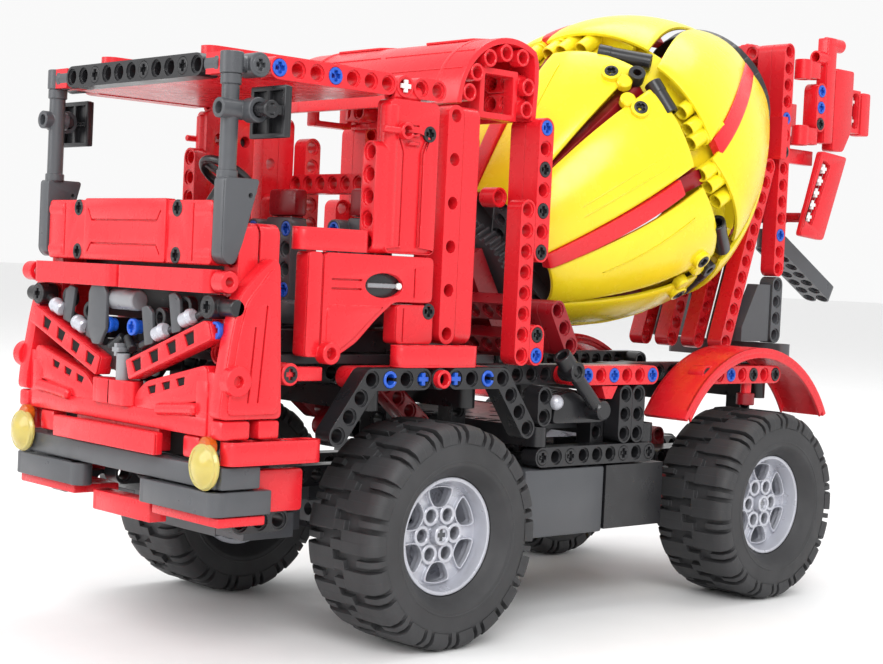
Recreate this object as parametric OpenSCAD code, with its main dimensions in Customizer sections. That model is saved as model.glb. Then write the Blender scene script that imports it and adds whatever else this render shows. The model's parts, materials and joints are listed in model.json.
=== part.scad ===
// Toy cement mixer truck built from studless construction beams, panels and pins.
// The truck faces -Y, its left side is +X, and it stands on z = 0.

/* [Grid] */
// Distance between neighbouring holes
stud = 8; // [8:0.1:8.2]
// Width and thickness of a beam
beam_w = 7.8; // [7.4:0.1:7.8]
// Diameter of a pin hole
hole_d = 4.8; // [4.8:0.1:5]
// Diameter of the recess round each pin hole
recess_d = 6.2; // [6.2:0.1:6.4]
// Depth of the recess round each pin hole
recess_deep = 0.8; // [0.8:0.1:1]
// Height of grid level 0 above the ground
level_0 = 0.8; // [0.8:0.1:1.2]

/* [Wheels] */
// Outer diameter of the tyres
tyre_d = 81.6; // [80:0.2:81.6]
// Width of the tyres
tyre_w = 38; // [36:1:38]
// Diameter of the rims
rim_d = 43.2; // [43.2:0.2:44]
// Width of the rims
rim_w = 26; // [26:1:28]
// Distance from the middle of the truck to the middle of a tyre
half_track = 62.7; // [62.7:0.1:63.5]
// Distance between the axles in studs
wheelbase = 24; // [24:0.5:24.5]

/* [Drum] */
// Angle of the drum's axis above the ground
drum_tilt = 30.5; // [30:0.5:31]
// Largest radius of the drum in studs
drum_r = 8.4; // [8:0.1:8.4]
// Radius of the drum's closed front end in studs
drum_front_r = 5.2; // [5:0.1:5.3]
// Radius of the drum's open rear end in studs
drum_rear_r = 4.7; // [4.6:0.1:4.7]
// Half of the drum's length in studs
drum_half = 9; // [8.8:0.1:9]
// Thickness of the drum's panels
drum_wall = 2; // [1.6:0.1:2.4]
// Number of panel pairs round each half of the drum
drum_pairs = 4; // [3:1:5]
// Angle that a red strip takes up between the panels of a pair
strip_angle = 6; // [4:1:8]

/* [Gears] */
// Size of one gear tooth
gear_module = 1; // [1:1:1]
// Teeth of the drum gear
drum_teeth = 36; // [36:1:36]
// Teeth of the drive pinion
pinion_teeth = 12; // [12:1:12]

/* [Hidden] */

red = "#c8141c";
dark_red = "#8e1218";
black = "#1a1a1c";
grey = "#45474b";
light_grey = "#9a9da1";
yellow = "#f0d51c";
blue = "#1f5fc4";
silver = "#b8bcc2";

// Front and rear ends of the truck, in studs from the front axle
front_end = -12.4;
rear_end = 41.9;
y_shift = -stud * (front_end + rear_end) / 2;
hub_level = 5;
smooth = 48;
round_hole = 32;

// Axles and pins
axle_r = 2.32;
pin_r = 2.3;
collar_r = 2.9;
collar_len = 0.7;
kingpin_x = 44;
arm_len = 16;

// Drum axis: the widest ring's centre, and the places of the gear and bearing along the axis
drum_centre = [0, 20.4, 23.2];
gear_s = -11.6;
bearing_s = -12.9;
crossbar_s = -14.2;
ring_r = 4.2;
drum_curve = 1.7;
panel_gap = 1.2;
front_turn = -2;
rear_turn = -16;
roller_r = 0.6;
roller_reach = ring_r + roller_r + 0.03;
roller_angle = 18;
chute_pivot = [0, 35.4, 19.9];
chute_drop = 28.5;
half_beam = beam_w / stud / 2;
steering_foot = [3.2, -9.2, 19.3];
chute_holes = 7;
chute_len = (rear_end - chute_pivot[1] - half_beam * sin(chute_drop)) / cos(chute_drop) - half_beam;
gear_gap = (drum_teeth + pinion_teeth) / 2 * gear_module;

// ---- placing ----

module at(p) translate([stud * p[0], stud * p[1] + y_shift, stud * p[2] + level_0]) children();

module both_sides() {
    children();
    mirror([1, 0, 0]) children();
}

// Turn a beam that lies along X with vertical holes
module along_x() rotate([90, 0, 0]) children();
module along_y() rotate([90, 0, 90]) children();
module along_z() rotate([0, -90, 0]) children();
module flat_along_y() rotate([0, 0, 90]) children();
module front_along_z() rotate([90, -90, 0]) children();

// Drum's own frame: z runs up and back along the drum's axis
module drum_axes() at(drum_centre) rotate([drum_tilt - 90, 0, 0]) children();

// ---- shapes that repeat ----

module bar_outline(n) {
    circle(d = beam_w, $fn = smooth);
    if (n > 1) {
        translate([0, -beam_w / 2]) square([(n - 1) * stud, beam_w]);
        translate([(n - 1) * stud, 0]) circle(d = beam_w, $fn = smooth);
    }
}

module hole_row(n, d) {
    for (i = [0 : n - 1]) translate([i * stud, 0]) circle(d = d, $fn = round_hole);
}

// Straight beam of n holes from the origin along X, with a recess at both ends of each hole
module beam(n) {
    core = beam_w - 2 * recess_deep;
    linear_extrude(core, center = true) difference() {
        bar_outline(n);
        hole_row(n, hole_d);
    }
    for (z = [-beam_w / 2, core / 2]) translate([0, 0, z]) linear_extrude(recess_deep) difference() {
        bar_outline(n);
        hole_row(n, recess_d);
    }
}

// Beam bent at one hole: n holes along X, then m more at an angle
module bent_beam(n, m, angle) {
    core = beam_w - 2 * recess_deep;
    linear_extrude(core, center = true) bent_outline(n, m, angle, hole_d);
    for (z = [-beam_w / 2, core / 2]) translate([0, 0, z])
        linear_extrude(recess_deep) bent_outline(n, m, angle, recess_d);
}

module bent_outline(n, m, angle, d) {
    difference() {
        union() {
            bar_outline(n);
            translate([(n - 1) * stud, 0]) rotate(angle) bar_outline(m + 1);
        }
        hole_row(n, d);
        translate([(n - 1) * stud, 0]) rotate(angle) hole_row(m + 1, d);
    }
}

// Box from its limits in studs
module block(x, y, z) {
    at([x[0], y[0], z[0]]) cube([x[1] - x[0], y[1] - y[0], z[1] - z[0]] * stud);
}

// Plate with an outline drawn from the side, from x[0] to x[1]
module side_plate(x, outline) {
    at([x[0], 0, 0]) along_y() linear_extrude((x[1] - x[0]) * stud) polygon(outline * stud);
}

// Plate with an outline drawn from the front, from y[0] to y[1]
module front_plate(y, outline) {
    at([0, y[1], 0]) along_x() linear_extrude((y[1] - y[0]) * stud) polygon(outline * stud);
}

// Cylinder of radius r in millimetres, along one direction with its middle at a point in studs
module bore_x(p, len, r)
    at(p) rotate([0, 90, 0]) cylinder(r = r, h = len * stud, center = true, $fn = smooth);
module bore_y(p, len, r)
    at(p) rotate([90, 0, 0]) cylinder(r = r, h = len * stud, center = true, $fn = smooth);
module bore_z(p, len, r) at(p) cylinder(r = r, h = len * stud, center = true, $fn = smooth);

// Pin with its collar at the origin, its hollow end open, reaching down Z
module pin(len) {
    difference() {
        union() {
            translate([0, 0, -collar_len]) cylinder(r = collar_r, h = collar_len, $fn = smooth);
            translate([0, 0, -len * stud]) cylinder(r = pin_r, h = len * stud - collar_len / 2, $fn = smooth);
        }
        translate([0, 0, -stud / 2]) cylinder(r = pin_r - 0.8, h = stud, $fn = round_hole);
    }
}

// Pins whose collars lie in the truck's left and right faces at x
module side_pins(x, places) {
    both_sides() for (p = places) at([x, p[0], p[1]]) rotate([0, 90, 0]) translate([0, 0, -0.1]) pin(0.98);
}

module front_pins(y, places) {
    both_sides() for (p = places) at([p[0], y, p[1]]) rotate([90, 0, 0]) translate([0, 0, -0.1]) pin(0.98);
}

// ---- chassis ----

module chassis_rails() color(black) both_sides() {
    for (run = [[-10, 14], [4, 15], [19, 11]]) at([2, run[0], 7]) along_y() beam(run[1]);
    for (run = [[7, 15], [22, 9]]) at([3, run[0], 7]) along_y() beam(run[1]);
    for (y = [-6, 6]) at([3, y, 8]) along_z() beam(5);
    for (y = [18, 28]) at([4, y, 7]) along_z() beam(6);
    at([5, 15, 12]) along_y() beam(15);
}

module chassis_beams() color(black) {
    for (y = [8, 16]) at([-7, y, 9]) beam(15);
    for (y = [-3, 3]) at([-7, y, 11]) beam(15);
    both_sides() at([4, -9, 12]) along_y() beam(15);
    both_sides() at([6, 2, 12]) along_y() beam(15);
    for (y = [20, 27]) at([-6, y, 11]) beam(13);
    both_sides() {
        at([7, 8, 8]) along_y() beam(9);
        at([7, 8, 10]) along_z() beam(2);
        for (y = [14, 15]) at([7, y, 9]) along_z() beam(3);
        for (y = [13, 15]) at([6, y, 8]) along_z() beam(4);
        at([7, -10, 6]) along_y() beam(3);
    }
}

module red_side_beams() color(red) both_sides() {
    at([7, 10, 12]) along_y() beam(7);
    at([7, -4, 12]) along_y() beam(9);
    side_plate([6.6, 7.4], [[12.2, 11.45], [12.5, 10.8], [13, 10.8], [13.4, 11.45]]);
}

module middle_deck() color(grey) difference() {
    block([-5.1, 5.1], [8.6, 15.4], [9.1, 9.5]);
    for (x = [-4 : 2 : 4], y = [10 : 2 : 14]) bore_z([x, y, 9.3], 1, hole_d / 2);
}

module battery_box() color(grey) both_sides() block([3.6, 7.4], [6.95, 12.75], [4, 7.4]);

module motor_box() color(black) both_sides() {
    block([3.6, 5.45], [12.85, 17.3], [4.15, 8.45]);
    block([5.45, 7.4], [12.85, 17.3], [4.15, 7.4]);
}

module gear_lever() color(black) {
    both_sides() {
        side_plate([5.2, 7.4], [[8.6, 9.6], [12.2, 9.6], [12.2, 9.9], [8.6, 10.8]]);
        side_plate([6.55, 7.4], [[8.6, 9.0], [12.2, 9.0], [12.2, 9.55], [8.6, 9.55]]);
    }
    at([8, 11.4, 10.2]) rotate([38, 0, 0]) {
        cylinder(r = 3.4, h = 24, $fn = smooth);
        translate([0, 0, 24]) cylinder(r = 4.2, h = 6, $fn = smooth);
    }
    bore_x([7.6, 11.4, 10.2], 1.2, 2.6);
}

// ---- axles ----

module kingpin_fork() {
    fork_z = [5.9, 9.4];
    difference() {
        union() {
            for (z = [fork_z[0], -fork_z[1]]) translate([0, 0, z]) {
                cylinder(r = 5, h = 3.5, $fn = smooth);
                translate([-12, -4, 0]) cube([12, 8, 3.5]);
            }
            translate([-12, -4, -fork_z[1]]) cube([5, 8, 2 * fork_z[1]]);
        }
        cylinder(r = pin_r + 0.08, h = 30, center = true, $fn = smooth);
    }
    cylinder(r = pin_r, h = 18.6, center = true, $fn = smooth);
}

module front_axle_housing() color(grey) {
    both_sides() at([0, 0, hub_level]) translate([kingpin_x, 0, 0]) kingpin_fork();
    difference() {
        block([-3.95, 3.95], [-0.5, 0.5], [4.4, 5.6]);
        for (x = [-3 : 3]) bore_y([x, 0, hub_level], 2, hole_d / 2);
    }
    block([-1.4, 1.4], [-1.6, 1.6], [5.65, 6.45]);
    block([-3.3, 3.3], [-8.3, -3.6], [4.7, 6]);
    both_sides() block([3.35, 5.4], [-8.3, -5.6], [4.8, 5.9]);
    both_sides() at([1, -7, 6]) beam(1);
}

module rear_axle_housing() color(dark_red) {
    both_sides() at([4, wheelbase, hub_level]) along_z() beam(4);
    both_sides() at([1, wheelbase, hub_level]) along_z() beam(4);
    difference() {
        block([-3.45, 3.45], [wheelbase - 1.6, wheelbase - 0.55], [3.6, 6.4]);
        for (x = [-3 : 3]) bore_y([x, wheelbase - 1, hub_level], 3, hole_d / 2);
    }
}

// ---- front fenders ----

module front_fenders() color(black) both_sides() {
    for (side = [-1, 1]) at([8, side, 12]) scale([1, side, 1]) along_y() bent_beam(4, 3, -53.13);
    at([8, 0, 12]) rotate([0, 90, 0]) difference() {
        cylinder(d = beam_w, h = beam_w, center = true, $fn = smooth);
        cylinder(d = hole_d, h = stud, center = true, $fn = round_hole);
    }
}

// ---- cab ----

module cab_floor() color(black) {
    block([-6.4, 6.4], [-9.4, 5.4], [12.55, 12.95]);
    for (x = [-5, -2, 2, 5]) at([x, -9, 13.5]) flat_along_y() beam(13);
}

module cab_side_panels() color(red) both_sides() {
    difference() {
        side_plate([6.55, 7.45], [[-2.45, 17.55], [0.16, 17.55], [0.16, 24.4], [-2.45, 24.4]]);
        for (y = [-0.4, -2]) bore_x([7, y, 23], 2, recess_d / 2);
    }
    at([7, -7, 18]) flat_along_y() beam(4);
    at([7, -3, 18]) front_along_z() beam(5);
    at([8, -2, 13]) flat_along_y() beam(5);
    at([8, -11, 9]) flat_along_y() beam(5);
    for (y = [-10, -9]) at([7, y, 14]) along_z() beam(5);
}

module cab_columns() color(red) {
    both_sides() {
        at([7, 1.2, 14]) along_z() linear_extrude(beam_w, center = true) difference() {
            bar_outline(11);
            for (i = [0 : 2 : 10]) translate([i * stud, 0]) circle(d = hole_d, $fn = round_hole);
        }
        at([7, 2.2, 14]) front_along_z() beam(11);
        at([6, 3.2, 14]) along_z() beam(10);
        at([6, 1.2, 14]) along_z() beam(7);
    }
    for (z = [15, 21]) at([-5, 2.2, z]) along_x() beam(11);
}

module door_panels() color(red) both_sides() {
    difference() {
        side_plate([6.55, 7.45], [
            [-6.95, 12.95], [-5, 12.95], [-3.8, 13.45], [-2.9, 14.1], [-1.95, 14.5],
            [-1.95, 13.5], [0.45, 13.5], [0.45, 17.45], [-6.95, 17.45]
        ]);
        for (p = [[-5.9, 13.6], [0, 15]]) bore_x([7, p[0], p[1]], 2, recess_d / 2);
        bore_handle();
    }
}

module bore_handle() at([7.45, -2.7, 16.1]) rotate([0, 90, 0]) scale([0.55, 1, 1])
    cylinder(r = 9.2, h = 3, center = true, $fn = smooth);

module door_handles() color(light_grey) both_sides() block([7.27, 7.4], [-3.5, -1.9], [16, 16.2]);

module corner_fairings() color(red) both_sides() {
    side_plate([7.5, 8.4], [
        [-11.8, 9.55], [-8.75, 9.55], [-9.05, 16.4], [-9.3, 17], [-9.8, 16.8], [-11, 15.6], [-11.5, 12.8]
    ]);
    block([6.6, 7.4], [-11.6, -10.6], [9.6, 12.4]);
}

module bumper() color(grey) {
    block([-5.4, 5.4], [-11.7, -10.7], [7.5, 8.45]);
    both_sides() {
        block([5.45, 8.2], [-11.7, -10.7], [7.5, 8.45]);
        block([7.5, 8.2], [-10.65, -9.3], [7.5, 8.45]);
        block([2.4, 8.2], [-11.9, -10.9], [6.4, 7.4]);
        block([7.5, 8.2], [-10.85, -9], [6.4, 7.4]);
    }
}

module number_plate() color(red) block([-4.3, 4.3], [-12.3, -11.85], [8.55, 9.5]);

module headlights() color(yellow) both_sides() at([7.45, -11.75, 8.45]) {
    rotate([90, 0, 0]) cylinder(r = 6.6, h = 2.6, $fn = smooth);
    translate([0, -2.6, 0]) rotate([90, 0, 0]) cylinder(r = 8, h = 2.6, $fn = smooth);
}

function slanted(from, to, half) =
    let (a = atan2(to[1] - from[1], to[0] - from[0]), n = [-sin(a), cos(a)] * half)
    [from - n, to - n, to + n, from + n];

module grille_panels() color(red) {
    both_sides() {
        difference() {
            front_plate([-11.95, -11.05], slanted([1.25, 11.95], [7.2, 14.0], 0.5));
            for (i = [0 : 3]) let (start = [2 + 1.3 * i, 12.15 + 0.45 * i])
                front_plate([-12, -11], slanted(start, start + [0.9, 0.31], 0.22));
        }
        front_plate([-11.6, -10.7], slanted([1.6, 10.8], [6.3, 12.0], 0.5));
    }
    block([-1.2, 1.2], [-12, -11.1], [11, 12.2]);
    both_sides() block([0.1, 7.15], [-11.5, -10.6], [8.6, 9.6]);
}

module grille_trim() color(black) {
    both_sides() {
        at([6.9, -11.4, 15]) along_x() difference() {
            cylinder(r = 3.8, h = beam_w, center = true, $fn = smooth);
            cylinder(r = hole_d / 2, h = stud, center = true, $fn = smooth);
        }
        for (p = [[5.3, 14.45], [3.3, 13.7]]) at([p[0], -11.5, p[1] + 0.35]) along_x()
            cylinder(r = 2.4, h = 6, center = true, $fn = smooth);
        front_plate([-11.3, -10.7], slanted([1.4, 13.1], [5.9, 14.6], 0.35));
    }
    at([0, -11.1, 14.9]) rotate([0, 90, 0]) cylinder(r = 3.4, h = 17, center = true, $fn = smooth);
}

module front_beams() color(red) {
    both_sides() {
        at([0.6, -11.5, 16]) beam(7);
        at([0.6, -10.5, 16]) along_x() beam(6);
        at([6, -10, 13]) front_along_z() beam(3);
    }
}

module windscreen_panel() color(red) {
    difference() {
        block([-6.6, 6.6], [-11.45, -10.55], [16.65, 19.35]);
        for (x = [-4, 4], z = [17, 19]) bore_y([x, -11, z], 2, recess_d / 2);
    }
    block([-2.6, 2.6], [-11.6, -11.45], [17.4, 18.6]);
}

module roof_front_beam() color(black) at([-5, -11, 25]) along_x() beam(11);

module roof_frame() color(red) {
    both_sides() at([7, -9, 25]) along_y() beam(7);
    block([-6.4, 6.4], [-10.4, -2.6], [24.55, 24.95]);
    both_sides() {
        at([7, -2, 25]) along_z() beam(1);
        at([7, -1, 25]) along_y() beam(2);
        block([5.6, 6.9], [-11.4, -10.5], [24.55, 25.45]);
    }
    for (x = [-4, 4]) at([x, -10, 25.5]) flat_along_y() beam(8);
}

// Curved shell across the back of the cab roof
module roof_deflector() color(red) {
    outer = 3.4;
    wall = 0.3;
    at([-6.9, 5.2, 24.7]) along_y() linear_extrude(13.8 * stud) {
        difference() {
            circle(r = outer * stud, $fn = 96);
            circle(r = (outer - wall) * stud, $fn = 96);
            translate([-4, -4] * stud) square([8, 4] * stud);
            translate([1.7, -4] * stud) square([4, 8] * stud);
        }
        translate([1.65, 0] * stud) square([wall, 2.95] * stud);
    }
    both_sides() for (z = [25.1, 26.1]) at([5, 6.2, z]) beam(2);
}

module windscreen_pillars() color(grey) {
    foot = 19.4;
    both_sides() {
        bore_z([6.9, -11.05, 22.4], 4.2, 3.6);
        front_plate([-11.4, -10.7], [[6.3, foot], [6.9, foot], [7.5, 20.25], [6.3, 20.25]]);
        block([6.7, 7.4], [-11.4, -10.7], [16.6, 19.3]);
        at([7.6, -10.3, 23.1]) rotate([0, 90, 0]) difference() {
            cylinder(r = 4.2, h = 6, center = true, $fn = smooth);
            cylinder(r = pin_r + 0.08, h = 8, center = true, $fn = smooth);
        }
    }
}

module seats() color(grey) {
    for (x = [-3.2, 3.2]) {
        block([x - 1.6, x + 1.6], [-4.2, -0.6], [14.05, 15.2]);
        block([x - 1.6, x + 1.6], [-0.55, 0.4], [14.05, 19.2]);
        color(dark_red) block([x - 1.1, x + 1.1], [-0.5, 0.35], [19.3, 20.6]);
    }
}

module dashboard() color(black) {
    block([-6.4, 6.4], [-9.5, -8.7], [14.1, 17.4]);
    block([2.75, 3.65], [-9.5, -8.7], [17.4, 19.4]);
    at(steering_foot) rotate([-35, 0, 0]) cylinder(r = 2.2, h = 16, $fn = smooth);
}

// ---- drum support ----

module drum_front_frame() color(red) both_sides() {
    at([7, 7.2, 18]) along_z() beam(7);
    at([6, 7.2, 18]) along_z() beam(7);
    at([7, 6.2, 13]) along_z() beam(8);
    at([7, 7.2, 13]) along_z() beam(2);
    at([5, 6.2, 20.6]) along_z() beam(1);
}

module drum_bearing() color(dark_red) drum_axes() {
    difference() {
        translate([-1.4, -1.4, bearing_s - 0.6] * stud) cube([2.8, 5.8, 1.2] * stud);
        for (y = [0, gear_gap]) translate([0, y, bearing_s * stud])
            cylinder(r = axle_r + 0.08, h = 2 * stud, center = true, $fn = smooth);
    }
    for (y = [0.9, 2.9]) translate([-5, y, crossbar_s] * stud) beam(11);
    both_sides() for (x = [6, 7]) translate([x, 0.9, crossbar_s] * stud) along_y() beam(3);
}

// ---- rear ----

module rear_mudguards() color(red) both_sides() {
    rise = 3.75;
    half = 6.4;
    big_r = (half * half + rise * rise) / (2 * rise);
    difference() {
        at([6.5, wheelbase, 13.5 - big_r]) along_y() linear_extrude(2 * stud) difference() {
            circle(r = big_r * stud, $fn = 120);
            circle(r = (big_r - 0.35) * stud, $fn = 120);
            translate([-9 * stud, -9 * stud]) square([18 * stud, (9 + big_r - rise) * stud]);
        }
    }
    at([7.5, 21, 12]) along_y() beam(7);
}

module leaning(x, y, z) at([x, y, z]) rotate([72.1, 0, 0]) along_y() children();

module tower_beams() color(red) {
    both_sides() {
        leaning(3, 27.24, 13.55) beam(12);
        leaning(1, 27.24, 13.55) beam(8);
        for (x = [2, 3]) at([x, 32, 18 + 8 * (3 - x)]) along_z() beam(14 - 8 * (3 - x));
        block([2.2, 4], [30.9, 31.45], [24.5, 27]);
    }
    at([-1, 32, 31]) along_x() beam(3);
    at([-2, 33, 30.2]) along_x() beam(5);
}

module tower_supports() color(grey) {
    both_sides() {
        leaning(2, 28.4, 13.75) beam(10);
        side_plate([2.6, 3.4], [[28.8, 13.6], [31.4, 13.6], [31.4, 17], [30.2, 17], [28.8, 14.4]]);
        at([3, 32, 14]) along_z() beam(4);
    }
    at([-4, 32, 13]) beam(9);
    at([-2, 32, 23]) along_x() beam(5);
    drum_axes() translate([0, 0, (drum_half + 1.1) * stud]) {
        translate([-1.95, roller_reach - 0.7, 0] * stud) cube([3.9, 1.4, 0.4] * stud);
        for (a = [-roller_angle, roller_angle]) rotate([0, 0, a])
            translate([0, roller_reach * stud, -0.95 * stud])
            cylinder(r = axle_r, h = stud, $fn = smooth);
    }
}

module hopper_frame() color(red) {
    both_sides() {
        at([3, 35.5, 27]) along_z() beam(3);
        for (z = [30.2, 26.1]) at([3, 34.1, z]) flat_along_y() beam(2);
        block([2.6, 3.4], [36.1, 37], [25.9, 32.5]);
        block([2.6, 3.4], [37, 38.9], [26.9, 30.4]);
        block([2.6, 3.4], [40, 40.95], [26.7, 29.4]);
        block([2.2, 2.55], [37, 40.95], [27.5, 29]);
        side_plate([2.6, 3.4], [[36, 25.4], [38, 25], [36.4, 20.4], [34.3, 20.4]]);
    }
    block([-2.5, 2.5], [36.3, 36.8], [25.9, 26.4]);
    block([-2.5, 2.5], [35.2, 35.7], [21, 21.5]);
    bore_z([0, chute_pivot[1], 20.4], 1.6, pin_r);
    both_sides() block([2.05, 2.5], [32.6, 36.3], [24.5, 25.4]);
}

// ---- pins ----

module pins_black() color(black) {
    side_pins(7.45, [[-0.4, 23], [-2, 23], [-5.9, 13.6], [0, 15]]);
    side_pins(7.5, [[7.2, 22], [7.2, 20], [7.2, 18], [7.2, 14]]);
    side_pins(8, [[22, 12], [26, 12]]);
    side_pins(3.5, [[32, 25], [35.5, 27]]);
    front_pins(-11.45, [[4, 17], [4, 19]]);
}

module pins_blue() color(blue) {
    side_pins(8.5, [[-3, 12], [3, 12], [-1, 12], [1, 12]]);
    side_pins(7.5, [[11, 12], [13, 12], [16, 12], [-9, 25], [-6, 25], [7.2, 24], [7.2, 13]]);
    side_pins(8, [[21, 12], [25, 12]]);
    side_pins(3.5, [[32, 20], [32, 27], [35.5, 28], [35.5, 29]]);
}

// ---- drum ----

// Radius of the drum, in studs, at a place along its axis
function drum_radius(s) =
    drum_r - (drum_r - (s < 0 ? drum_front_r : drum_rear_r)) * pow(abs(s) / drum_half, drum_curve);

function drum_profile(from, to, steps) = concat(
    [for (i = [0 : steps]) let (s = from + (to - from) * i / steps) [drum_radius(s) * stud, s * stud]],
    [for (i = [steps : -1 : 0]) let (s = from + (to - from) * i / steps)
        [drum_radius(s) * stud - drum_wall, s * stud]]
);

// Pairs of panels, with the middle of each pair's strip at the angle turn
module drum_panels(from, to, turn) {
    reach = 180 / drum_pairs - strip_angle / 2 - panel_gap;
    starts = [strip_angle / 2 + panel_gap / 2, -180 / drum_pairs + panel_gap / 2];
    for (i = [0 : drum_pairs - 1], start = starts) rotate([0, 0, turn + 360 / drum_pairs * i + start])
        rotate_extrude(angle = reach, $fn = 96) polygon(drum_profile(from, to, 6));
}

module drum_strip_set(from, to, turn) {
    reach = strip_angle - panel_gap;
    for (i = [0 : drum_pairs - 1]) rotate([0, 0, turn + 360 / drum_pairs * i - reach / 2])
        rotate_extrude(angle = reach, $fn = 96) polygon(drum_profile(from, to, 6));
}

module drum_front_panels() color(yellow) drum_axes() drum_panels(-drum_half, 0.9, front_turn);

module drum_rear_panels() color(yellow) drum_axes() drum_panels(1.1, drum_half, rear_turn);

module drum_strips() color(red) drum_axes() {
    drum_strip_set(-drum_half, 0.9, front_turn);
    drum_strip_set(1.1, drum_half, rear_turn);
}

// Ring that the panels stand on, and the ring at the drum's mouth
module drum_frame() color(black) drum_axes() {
    inner = drum_radius(1.5) * stud - drum_wall - 0.3;
    translate([0, 0, 0.5 * stud]) difference() {
        cylinder(r = inner, h = stud, $fn = 96);
        translate([0, 0, -1]) cylinder(r = inner - 3, h = stud + 2, $fn = 96);
    }
    translate([0, 0, (drum_half + 0.05) * stud]) difference() {
        cylinder(r = ring_r * stud, h = stud, $fn = 96);
        translate([0, 0, -1]) cylinder(r = (ring_r - 0.7) * stud, h = stud + 2, $fn = 96);
    }
}

module drum_shaft() color(grey) drum_axes() {
    translate([0, 0, (bearing_s - 0.75) * stud])
        cylinder(r = axle_r, h = (gear_s - bearing_s + 0.75 - 0.55) * stud, $fn = smooth);
    translate([0, 0, (gear_s + 0.5) * stud])
        cylinder(r = 6, h = (-drum_half - gear_s - 0.5) * stud, $fn = smooth);
    translate([0, 0, (-drum_half - 0.4) * stud]) cylinder(r = (drum_front_r - 0.1) * stud, h = 2.5, $fn = 96);
}

// Flank of a spur gear tooth: involute of the base circle, as half angles at growing radii
function involute_angle(r, base) = sqrt(pow(r / base, 2) - 1) * 180 / PI - acos(base / r);

function tooth_points(teeth, i, steps = 5) =
    let (
        pitch = teeth * gear_module / 2, base = pitch * cos(20), slack = 0.12,
        low = max(base + 0.01, pitch - 1.2 * gear_module), high = pitch + 0.95 * gear_module,
        half = 90 / teeth + involute_angle(pitch, base) - slack / pitch * 180 / PI,
        root = pitch - 1.25 * gear_module,
        radii = [for (k = [0 : steps]) low + (high - low) * k / steps],
        mid = 360 / teeth * i
    )
    concat(
        [[root, mid - half]],
        [for (r = radii) [r, mid - half + involute_angle(r, base)]],
        [for (k = [steps : -1 : 0]) [radii[k], mid + half - involute_angle(radii[k], base)]],
        [[root, mid + half]]
    );

module gear_outline(teeth) {
    polygon([for (i = [0 : teeth - 1]) for (p = tooth_points(teeth, i)) p[0] * [cos(p[1]), sin(p[1])]]);
}

module drum_gear() color(grey) drum_axes() translate([0, 0, (gear_s - 0.45) * stud])
    linear_extrude(0.9 * stud) difference() {
        rotate(90) gear_outline(drum_teeth);
        circle(r = axle_r + 0.05, $fn = smooth);
    }

module drive_pinion() color(silver) drum_axes() translate([0, gear_gap, 0]) {
    translate([0, 0, (gear_s - 0.45) * stud]) linear_extrude(0.9 * stud)
        rotate(-90 + 180 / pinion_teeth) gear_outline(pinion_teeth);
    translate([0, 0, (bearing_s - 0.75) * stud])
        cylinder(r = axle_r, h = (gear_s - bearing_s + 0.75 - 0.45) * stud, $fn = smooth);
}

module roller(side) drum_axes() rotate([0, 0, -side * roller_angle])
    translate([0, roller_reach * stud, (drum_half + 0.1) * stud]) difference() {
        cylinder(r = roller_r * stud, h = 0.9 * stud, $fn = smooth);
        translate([0, 0, -1]) cylinder(r = axle_r + 0.08, h = 2 * stud, $fn = smooth);
    }

module roller_left() color(black) roller(1);

module roller_right() color(black) roller(-1);

// ---- wheels and steering ----

module knuckle() {
    difference() {
        union() {
            cylinder(r = 5, h = 11.2, center = true, $fn = smooth);
            translate([-3, 0, -5.6]) cube([6, arm_len, 3]);
            translate([0, arm_len, -5.6]) cylinder(r = 3, h = 3, $fn = smooth);
        }
        cylinder(r = pin_r + 0.08, h = 20, center = true, $fn = smooth);
    }
    translate([0, arm_len, -12]) cylinder(r = pin_r, h = 6.6, $fn = smooth);
}

module stub_axle() rotate([0, 90, 0]) {
    translate([0, 0, 4]) cylinder(r = axle_r, h = 24, $fn = smooth);
    translate([0, 0, 4]) cylinder(r = 4, h = 8.2, $fn = smooth);
}

module knuckle_left() color(grey) at([0, 0, hub_level]) translate([kingpin_x, 0, 0]) {
    knuckle();
    stub_axle();
}

module knuckle_right() color(grey) at([0, 0, hub_level]) translate([-kingpin_x, 0, 0]) {
    knuckle();
    mirror([1, 0, 0]) stub_axle();
}

module tie_rod() color(black) at([0, 0, hub_level]) {
    low = -11.4;
    high = 3.6;
    reach = 1.6;
    difference() {
        union() {
            translate([-kingpin_x, arm_len - 3, low]) cube([2 * kingpin_x, 5, high]);
            for (side = [-1, 1]) translate([side * kingpin_x - 3.4, arm_len - 5.4, low])
                cube([6.8, 8.8, high]);
        }
        for (side = [-1, 1]) translate([side * kingpin_x, arm_len, low - 1]) linear_extrude(high + 2) {
            circle(r = pin_r + 0.3, $fn = smooth);
            translate([0, -reach]) circle(r = pin_r + 0.3, $fn = smooth);
            translate([-pin_r - 0.3, -reach]) square([2 * pin_r + 0.6, reach]);
        }
    }
}

module rim_layer(from, to, pin_holes = true) translate([0, 0, from]) linear_extrude(to - from) difference() {
    children();
    circle(r = axle_r + 0.08, $fn = smooth);
    if (pin_holes) rim_ring(0, stud) circle(d = hole_d, $fn = smooth);
    rim_ring(30, 15) circle(r = 3.2, $fn = smooth);
}

module rim_ring(start, reach) for (i = [0 : 5]) rotate(start + 60 * i) translate([reach, 0]) children();

// Rim with its outer side towards +Z
module rim() {
    wall = 2;
    web = [4, 7];
    translate([0, 0, -rim_w / 2]) linear_extrude(rim_w) difference() {
        circle(d = rim_d - 0.2, $fn = 96);
        circle(d = rim_d - 2 * wall, $fn = 96);
    }
    rim_layer(web[0], web[1]) circle(d = rim_d - 2 * wall + 0.8, $fn = 96);
    rim_layer(web[1], web[1] + 1.2) {
        circle(r = 4.6, $fn = smooth);
        rim_ring(0, stud) circle(r = 3.7, $fn = smooth);
    }
    rim_layer(-6, web[0], false) circle(r = 4.6, $fn = smooth);
}

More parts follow.
